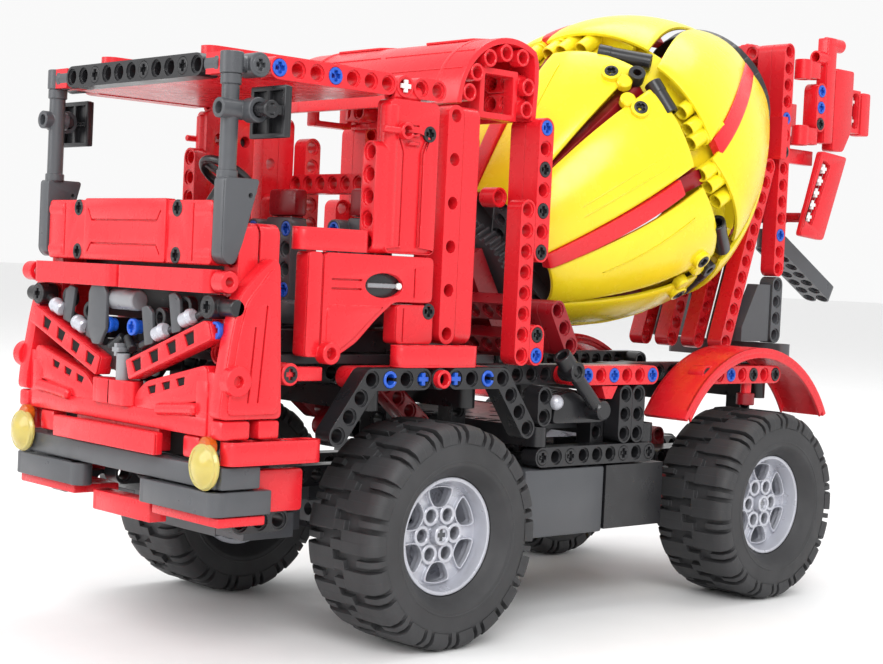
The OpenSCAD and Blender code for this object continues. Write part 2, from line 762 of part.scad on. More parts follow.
module tyre() rotate_extrude($fn = 120) polygon([
    [rim_d / 2 + 0.1, -rim_w / 2], [26, -tyre_w / 2], [34, -tyre_w / 2], [38.2, -tyre_w / 2 + 1],
    [tyre_d / 2, -tyre_w / 2 + 4], [tyre_d / 2, tyre_w / 2 - 4], [38.2, tyre_w / 2 - 1],
    [34, tyre_w / 2], [26, tyre_w / 2], [rim_d / 2 + 0.1, rim_w / 2]
]);

// Place a wheel's piece on the truck's left (side = 1) or right (side = -1)
module on_hub(y, side) at([0, y, hub_level]) translate([side * half_track, 0, 0])
    rotate([0, side * 90, 0]) children();

module rim_front_left() color(silver) on_hub(0, 1) rim();

module rim_front_right() color(silver) on_hub(0, -1) rim();

module rims_rear() color(silver) for (side = [-1, 1]) on_hub(wheelbase, side) rim();

module tyre_front_left() color(black) on_hub(0, 1) tyre();

module tyre_front_right() color(black) on_hub(0, -1) tyre();

module tyres_rear() color(black) for (side = [-1, 1]) on_hub(wheelbase, side) tyre();

module rear_axle() color(grey) at([0, wheelbase, hub_level]) rotate([0, 90, 0])
    cylinder(r = axle_r, h = 2 * (half_track + 9), center = true, $fn = smooth);

module steering_wheel() color(black) at(steering_foot) rotate([-35, 0, 0]) translate([0, 0, 12]) {
    rotate_extrude($fn = 64) translate([10, 0]) circle(r = 1.5, $fn = 24);
    difference() {
        union() {
            translate([0, 0, -2]) cylinder(r = 3.6, h = 4, $fn = smooth);
            for (a = [0, 120, 240]) rotate(a) translate([0, -1, -1]) cube([9.2, 2, 2]);
        }
        cylinder(r = 2.28, h = 10, center = true, $fn = smooth);
    }
}

// ---- mirrors and chute ----

module mirror_piece() {
    bore_x([7.95, -10.3, 23.1], 1.7, pin_r);
    difference() {
        block([6.5, 8.9], [-9.7, -9.35], [22, 24.15]);
        for (x = [6.7, 7.8], z = [22.2, 23.15]) block([x, x + 0.9], [-9.8, -9.5], [z, z + 0.8]);
    }
    block([8.1, 8.8], [-10.5, -9.7], [22.9, 23.3]);
}

module mirror_left() color(black) mirror_piece();

module mirror_right() color(black) mirror([1, 0, 0]) mirror_piece();

// Two beams side by side that slope down from the pivot
module chute() color(grey) difference() {
    union() {
        at(chute_pivot) rotate([-chute_drop, 0, 0]) for (x = [-0.48, 0.48])
            translate([x, chute_len - chute_holes + 1, 0] * stud) flat_along_y() beam(chute_holes);
        at(chute_pivot) cylinder(r = 4.8, h = 9.6, center = true, $fn = smooth);
    }
    bore_z(chute_pivot, 3, pin_r + 0.08);
}

chassis_rails();
chassis_beams();
red_side_beams();
middle_deck();
battery_box();
motor_box();
gear_lever();
front_axle_housing();
rear_axle_housing();
front_fenders();
cab_floor();
cab_side_panels();
cab_columns();
door_panels();
door_handles();
corner_fairings();
bumper();
number_plate();
headlights();
grille_panels();
grille_trim();
front_beams();
windscreen_panel();
roof_front_beam();
roof_frame();
roof_deflector();
windscreen_pillars();
seats();
dashboard();
drum_front_frame();
drum_bearing();
rear_mudguards();
tower_beams();
tower_supports();
hopper_frame();
pins_black();
pins_blue();
drum_front_panels();
drum_rear_panels();
drum_strips();
drum_frame();
drum_shaft();
drum_gear();
drive_pinion();
roller_left();
roller_right();
knuckle_left();
knuckle_right();
tie_rod();
rim_front_left();
rim_front_right();
rims_rear();
rear_axle();
tyre_front_left();
tyre_front_right();
tyres_rear();
steering_wheel();
mirror_left();
mirror_right();
chute();
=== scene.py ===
"""Looks of a toy cement mixer truck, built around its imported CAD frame.

Lengths below are in studs, the 8 mm pitch of the pin holes, with y = 0 and z = 5 at the front axle.
"""
import json
from math import asin, cos, degrees, radians, sin, tau

import bmesh
import bpy
from mathutils import Matrix, Vector


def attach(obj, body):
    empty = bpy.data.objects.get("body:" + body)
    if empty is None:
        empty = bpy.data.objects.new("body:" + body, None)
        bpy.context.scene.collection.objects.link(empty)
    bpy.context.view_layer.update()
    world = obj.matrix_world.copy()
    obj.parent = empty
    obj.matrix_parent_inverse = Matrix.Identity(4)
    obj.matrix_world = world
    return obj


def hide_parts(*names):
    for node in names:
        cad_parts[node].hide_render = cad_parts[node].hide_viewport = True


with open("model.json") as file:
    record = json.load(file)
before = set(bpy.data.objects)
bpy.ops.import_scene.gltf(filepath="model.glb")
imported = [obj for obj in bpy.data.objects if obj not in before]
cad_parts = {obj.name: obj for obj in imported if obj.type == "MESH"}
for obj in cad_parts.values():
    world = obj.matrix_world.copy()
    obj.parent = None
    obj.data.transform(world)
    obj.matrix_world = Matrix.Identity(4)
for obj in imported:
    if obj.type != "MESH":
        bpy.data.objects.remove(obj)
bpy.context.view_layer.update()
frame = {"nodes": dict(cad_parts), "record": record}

# ---- the truck's grid ----

STUD = 0.008
LEVEL_0 = 0.0008
FRONT_END, REAR_END = -12.4, 41.9
Y_SHIFT = -STUD * (FRONT_END + REAR_END) / 2
TO_METRES = Matrix.Translation((0, Y_SHIFT, LEVEL_0)) @ Matrix.Scale(STUD, 4)
MIRROR = Matrix.Diagonal((-1, 1, 1, 1))
MM = 1 / 8
HALF_BEAM = 3.9 * MM
HOLE_R = 2.4 * MM
RECESS_R = 3.1 * MM
SHARP_ANGLE = radians(38)
WHEELBASE = 24
HUB_LEVEL = 5


def frame_at(place, u, v):
    """Matrix with its origin at place and its x and y axes along u and v."""
    u = Vector(u).normalized()
    w = u.cross(Vector(v)).normalized()
    turned = Matrix((u, w.cross(u), w)).transposed().to_4x4()
    turned.translation = place
    return turned


def side(x, y=0, z=0):
    """Drawing plane of the truck's left side: u is y, v is z, and w points out."""
    return frame_at((x, y, z), (0, 1, 0), (0, 0, 1))


def front(y, x=0, z=0):
    """Drawing plane of the truck's front: u is x, v is z, and w points out."""
    return frame_at((x, y, z), (1, 0, 0), (0, 0, 1))


def flat(z, x=0, y=0):
    return Matrix.Translation((x, y, z))


def along(start, end):
    """Matrix with its z axis from start towards end."""
    direction = Vector(end) - Vector(start)
    spare = (0, 0, 1) if abs(direction.normalized().z) < 0.9 else (0, 1, 0)
    across = direction.cross(Vector(spare))
    return frame_at(start, across, direction.cross(across))


def distance(start, end):
    return (Vector(end) - Vector(start)).length


# ---- outlines in two dimensions ----


def circle(r, x=0, y=0, steps=24):
    return [(x + r * cos(tau * i / steps), y + r * sin(tau * i / steps)) for i in range(steps)]


def arc(r, start, end, x=0, y=0, steps=8):
    """Points on an arc, with its angles in degrees."""
    angles = [radians(start + (end - start) * i / steps) for i in range(steps + 1)]
    return [(x + r * cos(a), y + r * sin(a)) for a in angles]


def rounded(points, r, steps=4):
    """The outline with each corner replaced by a curve that starts r away from it."""
    result = []
    for i, corner in enumerate(points):
        corner = Vector(corner)
        before, after = Vector(points[i - 1]) - corner, Vector(points[(i + 1) % len(points)]) - corner
        start = corner + before.normalized() * min(r, before.length * 0.45)
        end = corner + after.normalized() * min(r, after.length * 0.45)
        for k in range(steps + 1):
            t = k / steps
            result.append(tuple(start * (1 - t) ** 2 + corner * 2 * t * (1 - t) + end * t ** 2))
    return result


def rectangle(x0, x1, y0, y1, r=0.1):
    return rounded([(x0, y0), (x1, y0), (x1, y1), (x0, y1)], r)


def cross(size, width):
    """Outline of a plus sign."""
    s, w = size, width
    right = [(s, -w), (s, w), (w, w), (w, s), (-w, s), (-w, w)]
    return right + [(-x, -y) for x, y in right]


def groove(*points, width=0.07):
    """Outline of a narrow slot along a line of points."""
    points = [Vector(p) for p in points]
    left, right = [], []
    for i, point in enumerate(points):
        before = (point - points[i - 1]).normalized() if i else (points[1] - point).normalized()
        after = (points[i + 1] - point).normalized() if i < len(points) - 1 else before
        middle = (before + after).normalized()
        across = Vector((-middle.y, middle.x)) * width / 2 / max(0.5, middle.dot(before))
        left.append(tuple(point + across))
        right.append(tuple(point - across))
    return left + right[::-1]


def ellipse(half_x, half_y, x, y, steps=32):
    return [(x + half_x * u, y + half_y * v) for u, v in circle(1, steps=steps)]


# ---- solids ----


def mesh_from(bm):
    mesh = bpy.data.meshes.new("shape")
    bmesh.ops.remove_doubles(bm, verts=bm.verts, dist=1e-5)
    bmesh.ops.recalc_face_normals(bm, faces=bm.faces)
    bm.to_mesh(mesh)
    bm.free()
    return mesh


def plate(loops, thick, bevel=0.04):
    """Plate centred on z = 0; the first loop is its outline and the others are holes."""
    curve = bpy.data.curves.new("outline", "CURVE")
    curve.dimensions = "2D"
    curve.fill_mode = "BOTH"
    curve.extrude = thick / 2 - bevel
    curve.bevel_depth = bevel
    curve.bevel_resolution = 1
    curve.offset = -bevel
    for loop in loops:
        spline = curve.splines.new("POLY")
        spline.points.add(len(loop) - 1)
        for point, (x, y) in zip(spline.points, loop):
            point.co = (x, y, 0, 1)
        spline.use_cyclic_u = True
    holder = bpy.data.objects.new("outline", curve)
    bm = bmesh.new()
    raw = bpy.data.meshes.new_from_object(holder)
    bm.from_mesh(raw)
    bpy.data.meshes.remove(raw)
    bpy.data.objects.remove(holder)
    bpy.data.curves.remove(curve)
    return mesh_from(bm)


def lathe(profile, steps=32, start=0, turn=tau):
    """Solid made by turning a closed (r, z) profile about the z axis."""
    bm = bmesh.new()
    whole = turn > tau - 1e-6
    count = steps if whole else steps + 1
    rings = []
    for i in range(count):
        a = start + turn * i / steps
        rings.append([bm.verts.new((r * cos(a), r * sin(a), z)) for r, z in profile])
    for i in range(steps):
        near, far = rings[i], rings[(i + 1) % count]
        for j in range(len(profile)):
            k = (j + 1) % len(profile)
            bm.faces.new((near[j], far[j], far[k], near[k]))
    if not whole:
        bm.faces.new(rings[0])
        bm.faces.new(reversed(rings[-1]))
    return mesh_from(bm)


def box(lo, hi, bevel=0.04):
    bm = bmesh.new()
    bmesh.ops.create_cube(bm, size=1)
    size, middle = Vector(hi) - Vector(lo), (Vector(hi) + Vector(lo)) / 2
    bm.transform(Matrix.Translation(middle) @ Matrix.Diagonal((*size, 1)))
    bmesh.ops.bevel(bm, geom=bm.edges[:], offset=bevel, segments=2, profile=0.5, affect="EDGES")
    return mesh_from(bm)


def rod(r, length, bevel=0.04, steps=24):
    profile = [(0, 0), (r - bevel, 0), (r, bevel), (r, length - bevel), (r - bevel, length), (0, length)]
    return lathe(profile, steps)


def tube(outer, inner, length, bevel=0.03, steps=24):
    b = min(bevel, (outer - inner) / 3)
    return lathe([
        (inner, b), (inner + b, 0), (outer - b, 0), (outer, b),
        (outer, length - b), (outer - b, length), (inner + b, length), (inner, length - b)
    ], steps)


def skin(outer, inner):
    """Closed shell between two grids of points that have the same number of rows and columns."""
    bm = bmesh.new()
    rows, columns = len(outer), len(outer[0])
    top = [[bm.verts.new(p) for p in row] for row in outer]
    low = [[bm.verts.new(p) for p in row] for row in inner]
    for i in range(rows - 1):
        for j in range(columns - 1):
            bm.faces.new((top[i][j], top[i + 1][j], top[i + 1][j + 1], top[i][j + 1]))
            bm.faces.new((low[i][j], low[i][j + 1], low[i + 1][j + 1], low[i + 1][j]))
    for i in range(rows - 1):
        for j in (0, columns - 1):
            bm.faces.new((top[i][j], top[i + 1][j], low[i + 1][j], low[i][j]))
    for j in range(columns - 1):
        for i in (0, rows - 1):
            bm.faces.new((top[i][j], top[i][j + 1], low[i][j + 1], low[i][j]))
    return mesh_from(bm)


class Shape:
    """Collects solids, and their mirror images if asked to, into one Blender piece."""

    def __init__(self, mirrored=False):
        self.bm = bmesh.new()
        self.mirrored = mirrored

    def add(self, mesh, matrix=Matrix()):
        for flip in ([Matrix(), MIRROR] if self.mirrored else [Matrix()]):
            copy = mesh.copy()
            full = flip @ matrix
            copy.transform(full)
            if full.determinant() < 0:
                copy.flip_normals()
            self.bm.from_mesh(copy)
            bpy.data.meshes.remove(copy)
        return self

    def rod(self, start, end, r, bevel=0.04):
        return self.add(rod(r, distance(start, end), bevel), along(start, end))

    def tube(self, start, end, outer, inner):
        return self.add(tube(outer, inner, distance(start, end)), along(start, end))

    def box(self, x, y, z, bevel=0.05):
        return self.add(box((x[0], y[0], z[0]), (x[1], y[1], z[1]), bevel))

    def beam(self, place, run, hole, count, step=1):
        """Beam with its first hole at place, along run, with its holes along hole."""
        return self.add(beam(count, step), frame_at(place, run, Vector(hole).cross(Vector(run))))

    def panel(self, matrix, outline, holes=(), grooves=(), thick=0.9, bevel=0.08):
        """Moulded panel under matrix's drawing plane, with holes through it and grooves in its face."""
        face = 0.12
        self.add(plate([outline, *holes], thick - face, 0.001), matrix @ flat(-face - (thick - face) / 2))
        top_bevel = min(bevel, face / 2 - 0.005)
        self.add(plate([outline, *holes, *grooves], face, top_bevel), matrix @ flat(-face / 2))
        return self

    def mesh(self):
        mesh = bpy.data.meshes.new("part")
        self.bm.to_mesh(mesh)
        self.bm.free()
        return mesh

    def finish(self, name, body, slot, *replaced, material=None):
        mesh = bpy.data.meshes.new(name)
        self.bm.transform(TO_METRES)
        self.bm.to_mesh(mesh)
        self.bm.free()
        mesh.shade_smooth()
        mesh.set_sharp_from_angle(angle=SHARP_ANGLE)
        mesh.materials.append(MATERIALS[material or slot])
        piece = bpy.data.objects.new(name, mesh)
        bpy.context.scene.collection.objects.link(piece)
        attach(piece, body)
        if replaced:
            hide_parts(*replaced)


# ---- beams and pins ----

X, Y, Z = (1, 0, 0), (0, 1, 0), (0, 0, 1)


def beam(count, step=1):
    """Beam along x with its holes along z, recessed on both faces."""
    core, recess = 6.2 * MM, 0.8 * MM
    outline = arc(HALF_BEAM, 90, 270) + arc(HALF_BEAM, -90, 90, count - 1)
    solid = Shape()
    face = (core + recess) / 2
    for thick, r, level in ((core, HOLE_R, 0), (recess, RECESS_R, -face), (recess, RECESS_R, face)):
        solid.add(plate([outline] + [circle(r, i) for i in range(0, count, step)], thick, 0.001), flat(level))
    return solid.mesh()


def pin_head():
    """End of a pin at the origin, facing +z: a collar round a cross-shaped hollow."""
    solid = Shape()
    solid.add(plate([circle(0.37), cross(0.24, 0.1)], 0.22, 0.03), flat(-0.11))
    solid.add(tube(0.3, 0.1, 0.3), flat(-0.5))
    return solid.mesh()


def axle_end(height=0.12):
    """End of an axle at the origin, facing +z."""
    return plate([cross(0.28, 0.1)], height, 0.02)


def split_pin(height=0.15, outer=0.38, inner=0.24):
    """Hollow end of a pin, with a slot down one side."""
    return lathe([
        (inner, -0.4), (outer, -0.4), (outer, height - 0.03), (outer - 0.03, height), (inner + 0.03, height),
        (inner, height - 0.03)
    ], 24, 0.3, tau - 0.6)


def sphere(r, steps=12):
    return lathe([(0, -r)] + arc(r, -80, 80, steps=steps) + [(0, r)], 24)


# ---- materials ----


def connect(tree, source, target):
    tree.links.new(source, target)


def noise(tree, scale, detail=3):
    place = tree.nodes.new("ShaderNodeTexCoord")
    node = tree.nodes.new("ShaderNodeTexNoise")
    node.inputs["Scale"].default_value = scale
    node.inputs["Detail"].default_value = detail
    connect(tree, place.outputs["Object"], node.inputs["Vector"])
    return node.outputs["Fac"]


def remap(tree, value, low, high, to_low, to_high):
    node = tree.nodes.new("ShaderNodeMapRange")
    for name, number in (("From Min", low), ("From Max", high), ("To Min", to_low), ("To Max", to_high)):
        node.inputs[name].default_value = number
    connect(tree, value, node.inputs["Value"])
    return node.outputs["Result"]


def mix(tree, factor, low, high):
    node = tree.nodes.new("ShaderNodeMix")
    node.data_type = "RGBA"
    connect(tree, factor, node.inputs["Factor"])
    for socket, value in ((node.inputs[6], low), (node.inputs[7], high)):
        if isinstance(value, tuple):
            socket.default_value = (*value, 1)
        else:
            connect(tree, value, socket)
    return node.outputs[2]


def scaled(colour, factor):
    return tuple(min(1, c * factor) for c in colour)


def edge_highlight(tree, radius):
    """Painted highlight mask, 1 on the solid's outer edges and broken up by noise, and the rounded normal."""
    bevel = tree.nodes.new("ShaderNodeBevel")
    bevel.samples = 4
    bevel.inputs["Radius"].default_value = radius
    geometry = tree.nodes.new("ShaderNodeNewGeometry")
    dot = tree.nodes.new("ShaderNodeVectorMath")
    dot.operation = "DOT_PRODUCT"
    connect(tree, bevel.outputs["Normal"], dot.inputs[0])
    connect(tree, geometry.outputs["Normal"], dot.inputs[1])
    # painted highlight: where the rounded normal turns away from the face's own normal, the edge is marked for
    # a paler colour
    edge = remap(tree, dot.outputs["Value"], 0.985, 0.8, 0, 1)
    broken = remap(tree, noise(tree, 350, 4), 0.4, 0.65, 0.15, 0.8)
    both = tree.nodes.new("ShaderNodeMath")
    both.operation = "MULTIPLY"
    connect(tree, edge, both.inputs[0])
    connect(tree, broken, both.inputs[1])
    return both.outputs[0], bevel.outputs["Normal"]


def moulded(name, colour, rough=0.25, variation=0.06, grain=1400, bump=0.05, highlight_gain=1.35, metallic=0.0):
    """Moulded plastic or rubber: slow colour drift, uneven gloss, fine grain and painted highlights on the
    edges.
    """
    material = bpy.data.materials.new(name)
    material.use_nodes = True
    tree = material.node_tree
    shader = tree.nodes["Principled BSDF"]
    highlight_mask, normal = edge_highlight(tree, 0.00035)
    drift = remap(tree, noise(tree, 45), 0.3, 0.7, 0, 1)
    body = mix(tree, drift, scaled(colour, 1 - variation), scaled(colour, 1 + variation))
    # painted highlight: the edges are mixed towards a paler copy of the colour
    highlight_colour = tuple(min(1, c * highlight_gain + 0.012) for c in colour)
    connect(tree, mix(tree, highlight_mask, body, highlight_colour), shader.inputs["Base Color"])
    gloss = remap(tree, noise(tree, 160, 5), 0.3, 0.7, rough - 0.05, rough + 0.07)
    connect(tree, gloss, shader.inputs["Roughness"])
    grain_bump = tree.nodes.new("ShaderNodeBump")
    grain_bump.inputs["Strength"].default_value = bump
    grain_bump.inputs["Distance"].default_value = 0.0002
    connect(tree, noise(tree, grain, 2), grain_bump.inputs["Height"])
    connect(tree, normal, grain_bump.inputs["Normal"])
    connect(tree, grain_bump.outputs["Normal"], shader.inputs["Normal"])
    shader.inputs["Metallic"].default_value = metallic
    return material


def clear_plastic(name, colour):
    """Tinted clear plastic with a slightly uneven surface."""
    material = moulded(name, colour, rough=0.1, variation=0.1, bump=0.08, highlight_gain=1.1)
    shader = material.node_tree.nodes["Principled BSDF"]
    shader.inputs["Transmission Weight"].default_value = 0.55
    shader.inputs["IOR"].default_value = 1.49
    return material


# Each material gets painted highlights on its edges, paler by the factor given for it.
MATERIALS = {
    "red": moulded("red", (0.70, 0.013, 0.022), rough=0.27, variation=0.05, highlight_gain=1.3),
    "dark_red": moulded("dark_red", (0.27, 0.006, 0.012), rough=0.3),
    "shade": moulded("shade", (0.0015, 0.0015, 0.0015), rough=0.9, variation=0.1, highlight_gain=1.2),
    "black": moulded("black", (0.014, 0.014, 0.016), rough=0.3, variation=0.15, highlight_gain=2.2),
    "dark_grey": moulded("dark_grey", (0.068, 0.071, 0.078), rough=0.32, variation=0.08),
    "light_grey": moulded("light_grey", (0.24, 0.245, 0.26), rough=0.3),
    "yellow": moulded("yellow", (0.86, 0.70, 0.016), rough=0.24, variation=0.04, highlight_gain=1.12),
    "blue": moulded("blue", (0.012, 0.09, 0.52), rough=0.28),
    "silver_plastic": moulded("silver_plastic", (0.50, 0.51, 0.56), 0.3, grain=2600, highlight_gain=1.25, metallic=0.35),
    "clear_yellow": clear_plastic("clear_yellow", (0.97, 0.80, 0.22)),
    "tyre": moulded("tyre", (0.030, 0.030, 0.032), rough=0.62, variation=0.2, grain=900, bump=0.12, highlight_gain=1.6),
    "orange": clear_plastic("orange", (0.95, 0.20, 0.02)),
    "white": moulded("white", (0.80, 0.80, 0.78), rough=0.3),
}

# ---- camera, light and floor ----

CAMERA_PLACE = Vector((0.5095, -0.4108 + Y_SHIFT, 0.1351))
CAMERA_YAW, CAMERA_PITCH, CAMERA_ROLL = radians(47.10), radians(-2.02), radians(2.69)
SENSOR = 36
FOCAL_SHARE = 1.896  # focal length as a share of the picture's width


def add_camera():
    data = bpy.data.cameras.new("camera")
    data.lens = SENSOR * FOCAL_SHARE
    data.sensor_width = SENSOR
    data.clip_start = 0.02
    camera = bpy.data.objects.new("camera", data)
    bpy.context.scene.collection.objects.link(camera)
    level = cos(CAMERA_PITCH)
    ahead = Vector((-sin(CAMERA_YAW) * level, cos(CAMERA_YAW) * level, sin(CAMERA_PITCH)))
    right = ahead.cross(Vector((0, 0, 1))).normalized()
    up = right.cross(ahead)
    tilted_right = cos(CAMERA_ROLL) * right + sin(CAMERA_ROLL) * up
    tilted_up = -sin(CAMERA_ROLL) * right + cos(CAMERA_ROLL) * up
    turned = Matrix((tilted_right, tilted_up, -ahead)).transposed().to_4x4()
    turned.translation = CAMERA_PLACE
    camera.matrix_world = turned
    bpy.context.scene.camera = camera


def add_light(name, place, size, power):
    data = bpy.data.lights.new(name, "AREA")
    data.shape = "DISK"
    data.size = size
    data.energy = power
    lamp = bpy.data.objects.new(name, data)
    bpy.context.scene.collection.objects.link(lamp)
    lamp.location = place
    lamp.rotation_euler = (Vector((0, 0, 0.1)) - Vector(place)).to_track_quat("-Z", "Y").to_euler()


def add_world():
    world = bpy.data.worlds.new("world")
    bpy.context.scene.world = world
    world.use_nodes = True
    background = world.node_tree.nodes["Background"]
    background.inputs["Color"].default_value = (1, 1, 1, 1)
    background.inputs["Strength"].default_value = 0.95


FLOOR_HALF = 20


def add_floor():
    bm = bmesh.new()
    bmesh.ops.create_grid(bm, x_segments=2, y_segments=2, size=FLOOR_HALF)
    floor = bpy.data.objects.new("floor", mesh_from(bm))
    bpy.context.scene.collection.objects.link(floor)
    floor.data.materials.append(moulded("floor", (0.86, 0.86, 0.86), rough=0.6, variation=0.01, highlight_gain=1))


add_camera()
add_light("key", (1.1, -0.9, 1.0), 0.9, 15)
add_light("front", (-0.5, -1.4, 0.7), 1.0, 8)
add_light("top", (-0.2, 0.5, 1.6), 1.4, 12)
add_world()
add_floor()
bpy.context.scene.view_settings.view_transform = "Standard"

# ---- the CAD nodes that stay get the materials of their slots ----

for part in frame["record"]["subparts"]:
    data = frame["nodes"][part["node"]].data
    data.materials.clear()
    data.materials.append(MATERIALS[part["material_slot"]])

# ---- wheels ----

TYRE_R = 40.8 * MM
TYRE_HALF = 19 * MM
LUGS = 18
LUG_STEP = tau / LUGS


def lug(reach, width, start, high=TYRE_R):
    """One tread lug from the tyre's shoulder to z = reach."""
    shoulder = TYRE_HALF
    profile = [
        (high - 0.85, shoulder - 0.05), (high - 0.5, shoulder), (high - 0.3, shoulder - 0.06),
        (high - 0.06, shoulder - 0.35), (high, shoulder - 0.8), (high, reach), (high - 0.45, reach - 0.03),
        (high - 0.5, shoulder - 0.4)
    ]
    return lathe(profile, 5, start - width / 2, width)


def tyre():
    """Tyre whose outer side points along +z."""
    groove_r = TYRE_R - 2.1 * MM
    wall, shoulder = TYRE_HALF - 0.03, TYRE_HALF - 0.12
    half = [
        (2.71, 1.62), (2.95, 1.9), (3.22, wall - 0.05), (3.3, wall), (3.42, wall), (3.45, TYRE_HALF),
        (3.5, TYRE_HALF), (3.53, wall), (4.12, wall), (4.2, wall - 0.02), (4.5, shoulder - 0.1),
        (groove_r - 0.06, shoulder - 0.5), (groove_r, shoulder - 0.8)
    ]
    profile = half + [(r, -z) for r, z in reversed(half)]
    solid = Shape()
    solid.add(lathe(profile, 96))
    for flip, offset in ((Matrix(), 0), (Matrix.Diagonal((1, 1, -1, 1)), LUG_STEP / 2)):
        for i in range(LUGS):
            start = i * LUG_STEP + offset
            solid.add(lug(0.28, LUG_STEP * 0.56, start), flip)
            solid.add(lug(-0.42, LUG_STEP * 0.26, start + LUG_STEP * 0.12), flip)
            solid.add(lug(1.25, LUG_STEP * 0.16, start + LUG_STEP / 2, TYRE_R - 0.05), flip)
    return solid.bm


def rim():
    """Rim whose outer side points along +z, with its pin holes and cut-outs."""
    web, web_thick, outer = 0.86, 0.36, 2.34
    solid = Shape()
    solid.add(lathe([
        (2.69, -1.62), (2.69, 1.5), (2.66, 1.6), (2.58, 1.625), (2.5, 1.6), (2.46, 1.5), (2.4, 1.2),
        (2.33, 0.9), (2.3, 0.5), (2.42, -1.5), (2.46, -1.62)
    ], 72))
    inner_end = [(1.72, 0.62), (1.32, 0.36), (1.24, 0), (1.32, -0.36), (1.72, -0.62)]
    cutout = rounded(arc(2.16, -19, 19, steps=6) + inner_end, 0.14, 3)
    centre = Vector((1.72, 0))
    holes, lips = [], []
    for i in range(6):
        turn = Matrix.Rotation(radians(30 + 60 * i), 2)
        holes.append([tuple(turn @ Vector(p)) for p in cutout])
        lips.append([tuple(turn @ (centre + (Vector(p) - centre) * 1.14)) for p in cutout])
    bores = [circle(HOLE_R, cos(tau * i / 6), sin(tau * i / 6)) for i in range(6)]
    disc = plate([circle(outer, steps=72), cross(0.27, 0.1), *bores, *holes], web_thick, 0.03)
    solid.add(disc, flat(web - web_thick / 2))
    for lip, hole in zip(lips, holes):
        solid.add(plate([lip, hole], 0.34, 0.03), flat(web + 0.02))
    for i in range(6):
        x, y = cos(tau * i / 6), sin(tau * i / 6)
        solid.add(tube(0.47, HOLE_R, 0.9), flat(web - 0.72, x, y))
    solid.add(tube(0.47, 0.3, 1.1), flat(web - 0.65))
    solid.add(plate([circle(0.36), cross(0.27, 0.1)], 0.3, 0.02), flat(web + 0.2))
    solid.add(lathe([(0.3, -0.5), (0.6, -0.5), (0.6, 0.3), (0.3, 0.3)], 32), flat(0.1))
    solid.add(lathe([(0.5, -0.95), (2.44, -0.95), (2.44, -0.8), (0.5, -0.8)], 48))
    return solid.bm


def place_wheels():
    shapes = {}
    for kind, maker in (("tyre", tyre), ("rim", rim)):
        mesh = bpy.data.meshes.new(kind)
        bm = maker()
        bm.to_mesh(mesh)
        bm.free()
        shapes[kind] = mesh
    half_track = 62.7 * MM
    for kind, slot in (("tyre", "tyre"), ("rim", "silver_plastic")):
        for end, y in (("front", 0), ("rear", WHEELBASE)):
            for hand, flip in (("left", Matrix()), ("right", MIRROR)):
                body = "rear_axle" if end == "rear" else "wheel_front_" + hand
                node = kind + "s_rear" if end == "rear" else kind + "_front_" + hand
                solid = Shape()
                solid.add(shapes[kind], flip @ side(half_track, y, HUB_LEVEL))
                solid.finish(f"{kind}_{end}_{hand}", body, slot, node)


place_wheels()

# ---- drum ----

DRUM_TILT = radians(30.5)
DRUM = frame_at((0, 20.4, 23.2), (1, 0, 0), (0, sin(DRUM_TILT), -cos(DRUM_TILT)))
DRUM_R, DRUM_HALF, DRUM_FRONT_R, DRUM_REAR_R, DRUM_CURVE = 8.4, 9, 5.2, 4.7, 1.7


def drum_r(s):
    end = DRUM_FRONT_R if s < 0 else DRUM_REAR_R
    return DRUM_R - (DRUM_R - end) * (abs(s) / DRUM_HALF) ** DRUM_CURVE


def on_drum(s, turn, r):
    """Point at a place s along the drum's axis and an angle in degrees that grows upwards from its left."""
    return (r * cos(radians(turn)), -r * sin(radians(turn)), s)


def drum_patch(corners, sink, swell, thick=0.24, rows=12, columns=10):
    """Curved panel between four (s, turn) corners, taken in order round it.

    sink(s) lowers it below the drum's widest outline, and swell raises its middle.
    """
    a, b, c, d = [Vector(p) for p in corners]
    edge = [0, 0.02, 0.06]
    steps_u = edge + [0.06 + 0.88 * (i + 1) / rows for i in range(rows)] + [0.98, 1]
    steps_v = edge + [0.06 + 0.88 * (i + 1) / columns for i in range(columns)] + [0.98, 1]
    outer, inner = [], []
    for u in steps_u:
        top, low = [], []
        for v in steps_v:
            s, turn = (a * (1 - u) + b * u) * (1 - v) + (d * (1 - u) + c * u) * v
            near = min(u, 1 - u, v, 1 - v)
            round_off = 0.08 * max(0, 1 - near / 0.04) ** 2
            r = drum_r(s) - sink(s) + swell * (1 - (2 * v - 1) ** 2)
            top.append(on_drum(s, turn, r - round_off))
            low.append(on_drum(s, turn, r - thick))
        outer.append(top)
        inner.append(low)
    return skin(outer, inner)


def drum_bar(start, end, lift=0.0):
    """Matrix and length of a straight bar on the drum's surface, from one (s, turn) place to another."""
    first = Vector(on_drum(start[0], start[1], drum_r(start[0]) + lift))
    last = Vector(on_drum(end[0], end[1], drum_r(end[0]) + lift))
    return DRUM @ along(first, last), (last - first).length


def front_sink(s):
    """The front panels are straight along the drum, so their rear ends lie a little below its widest ring."""
    return 0.1 + 0.04 * max(0, s + 6)


def rear_sink(_):
    """The rear panels lie evenly just below the drum's outline."""
    return 0.05


def drum_facing(s, turn, lift=0.0):
    """Drawing plane that lies on the drum, with its u along the axis, towards the rear."""
    here = Vector(on_drum(s, turn, drum_r(s) + lift))
    ahead = Vector(on_drum(s + 0.1, turn, drum_r(s + 0.1) + lift)) - here
    out = Vector(on_drum(s, turn, 1)) - Vector((0, 0, s))
    return DRUM @ frame_at(here, ahead, out.cross(ahead))


def drum_core(start, end, lift):
    """Beam under the panels, as a plate with rounded ends, and its place."""
    matrix, length = drum_bar(start, end, lift)
    return plate([rectangle(-0.49, 0.49, 0, length, 0.3)], 0.9, 0.05), matrix @ frame_at((0, 0, 0), X, Z)


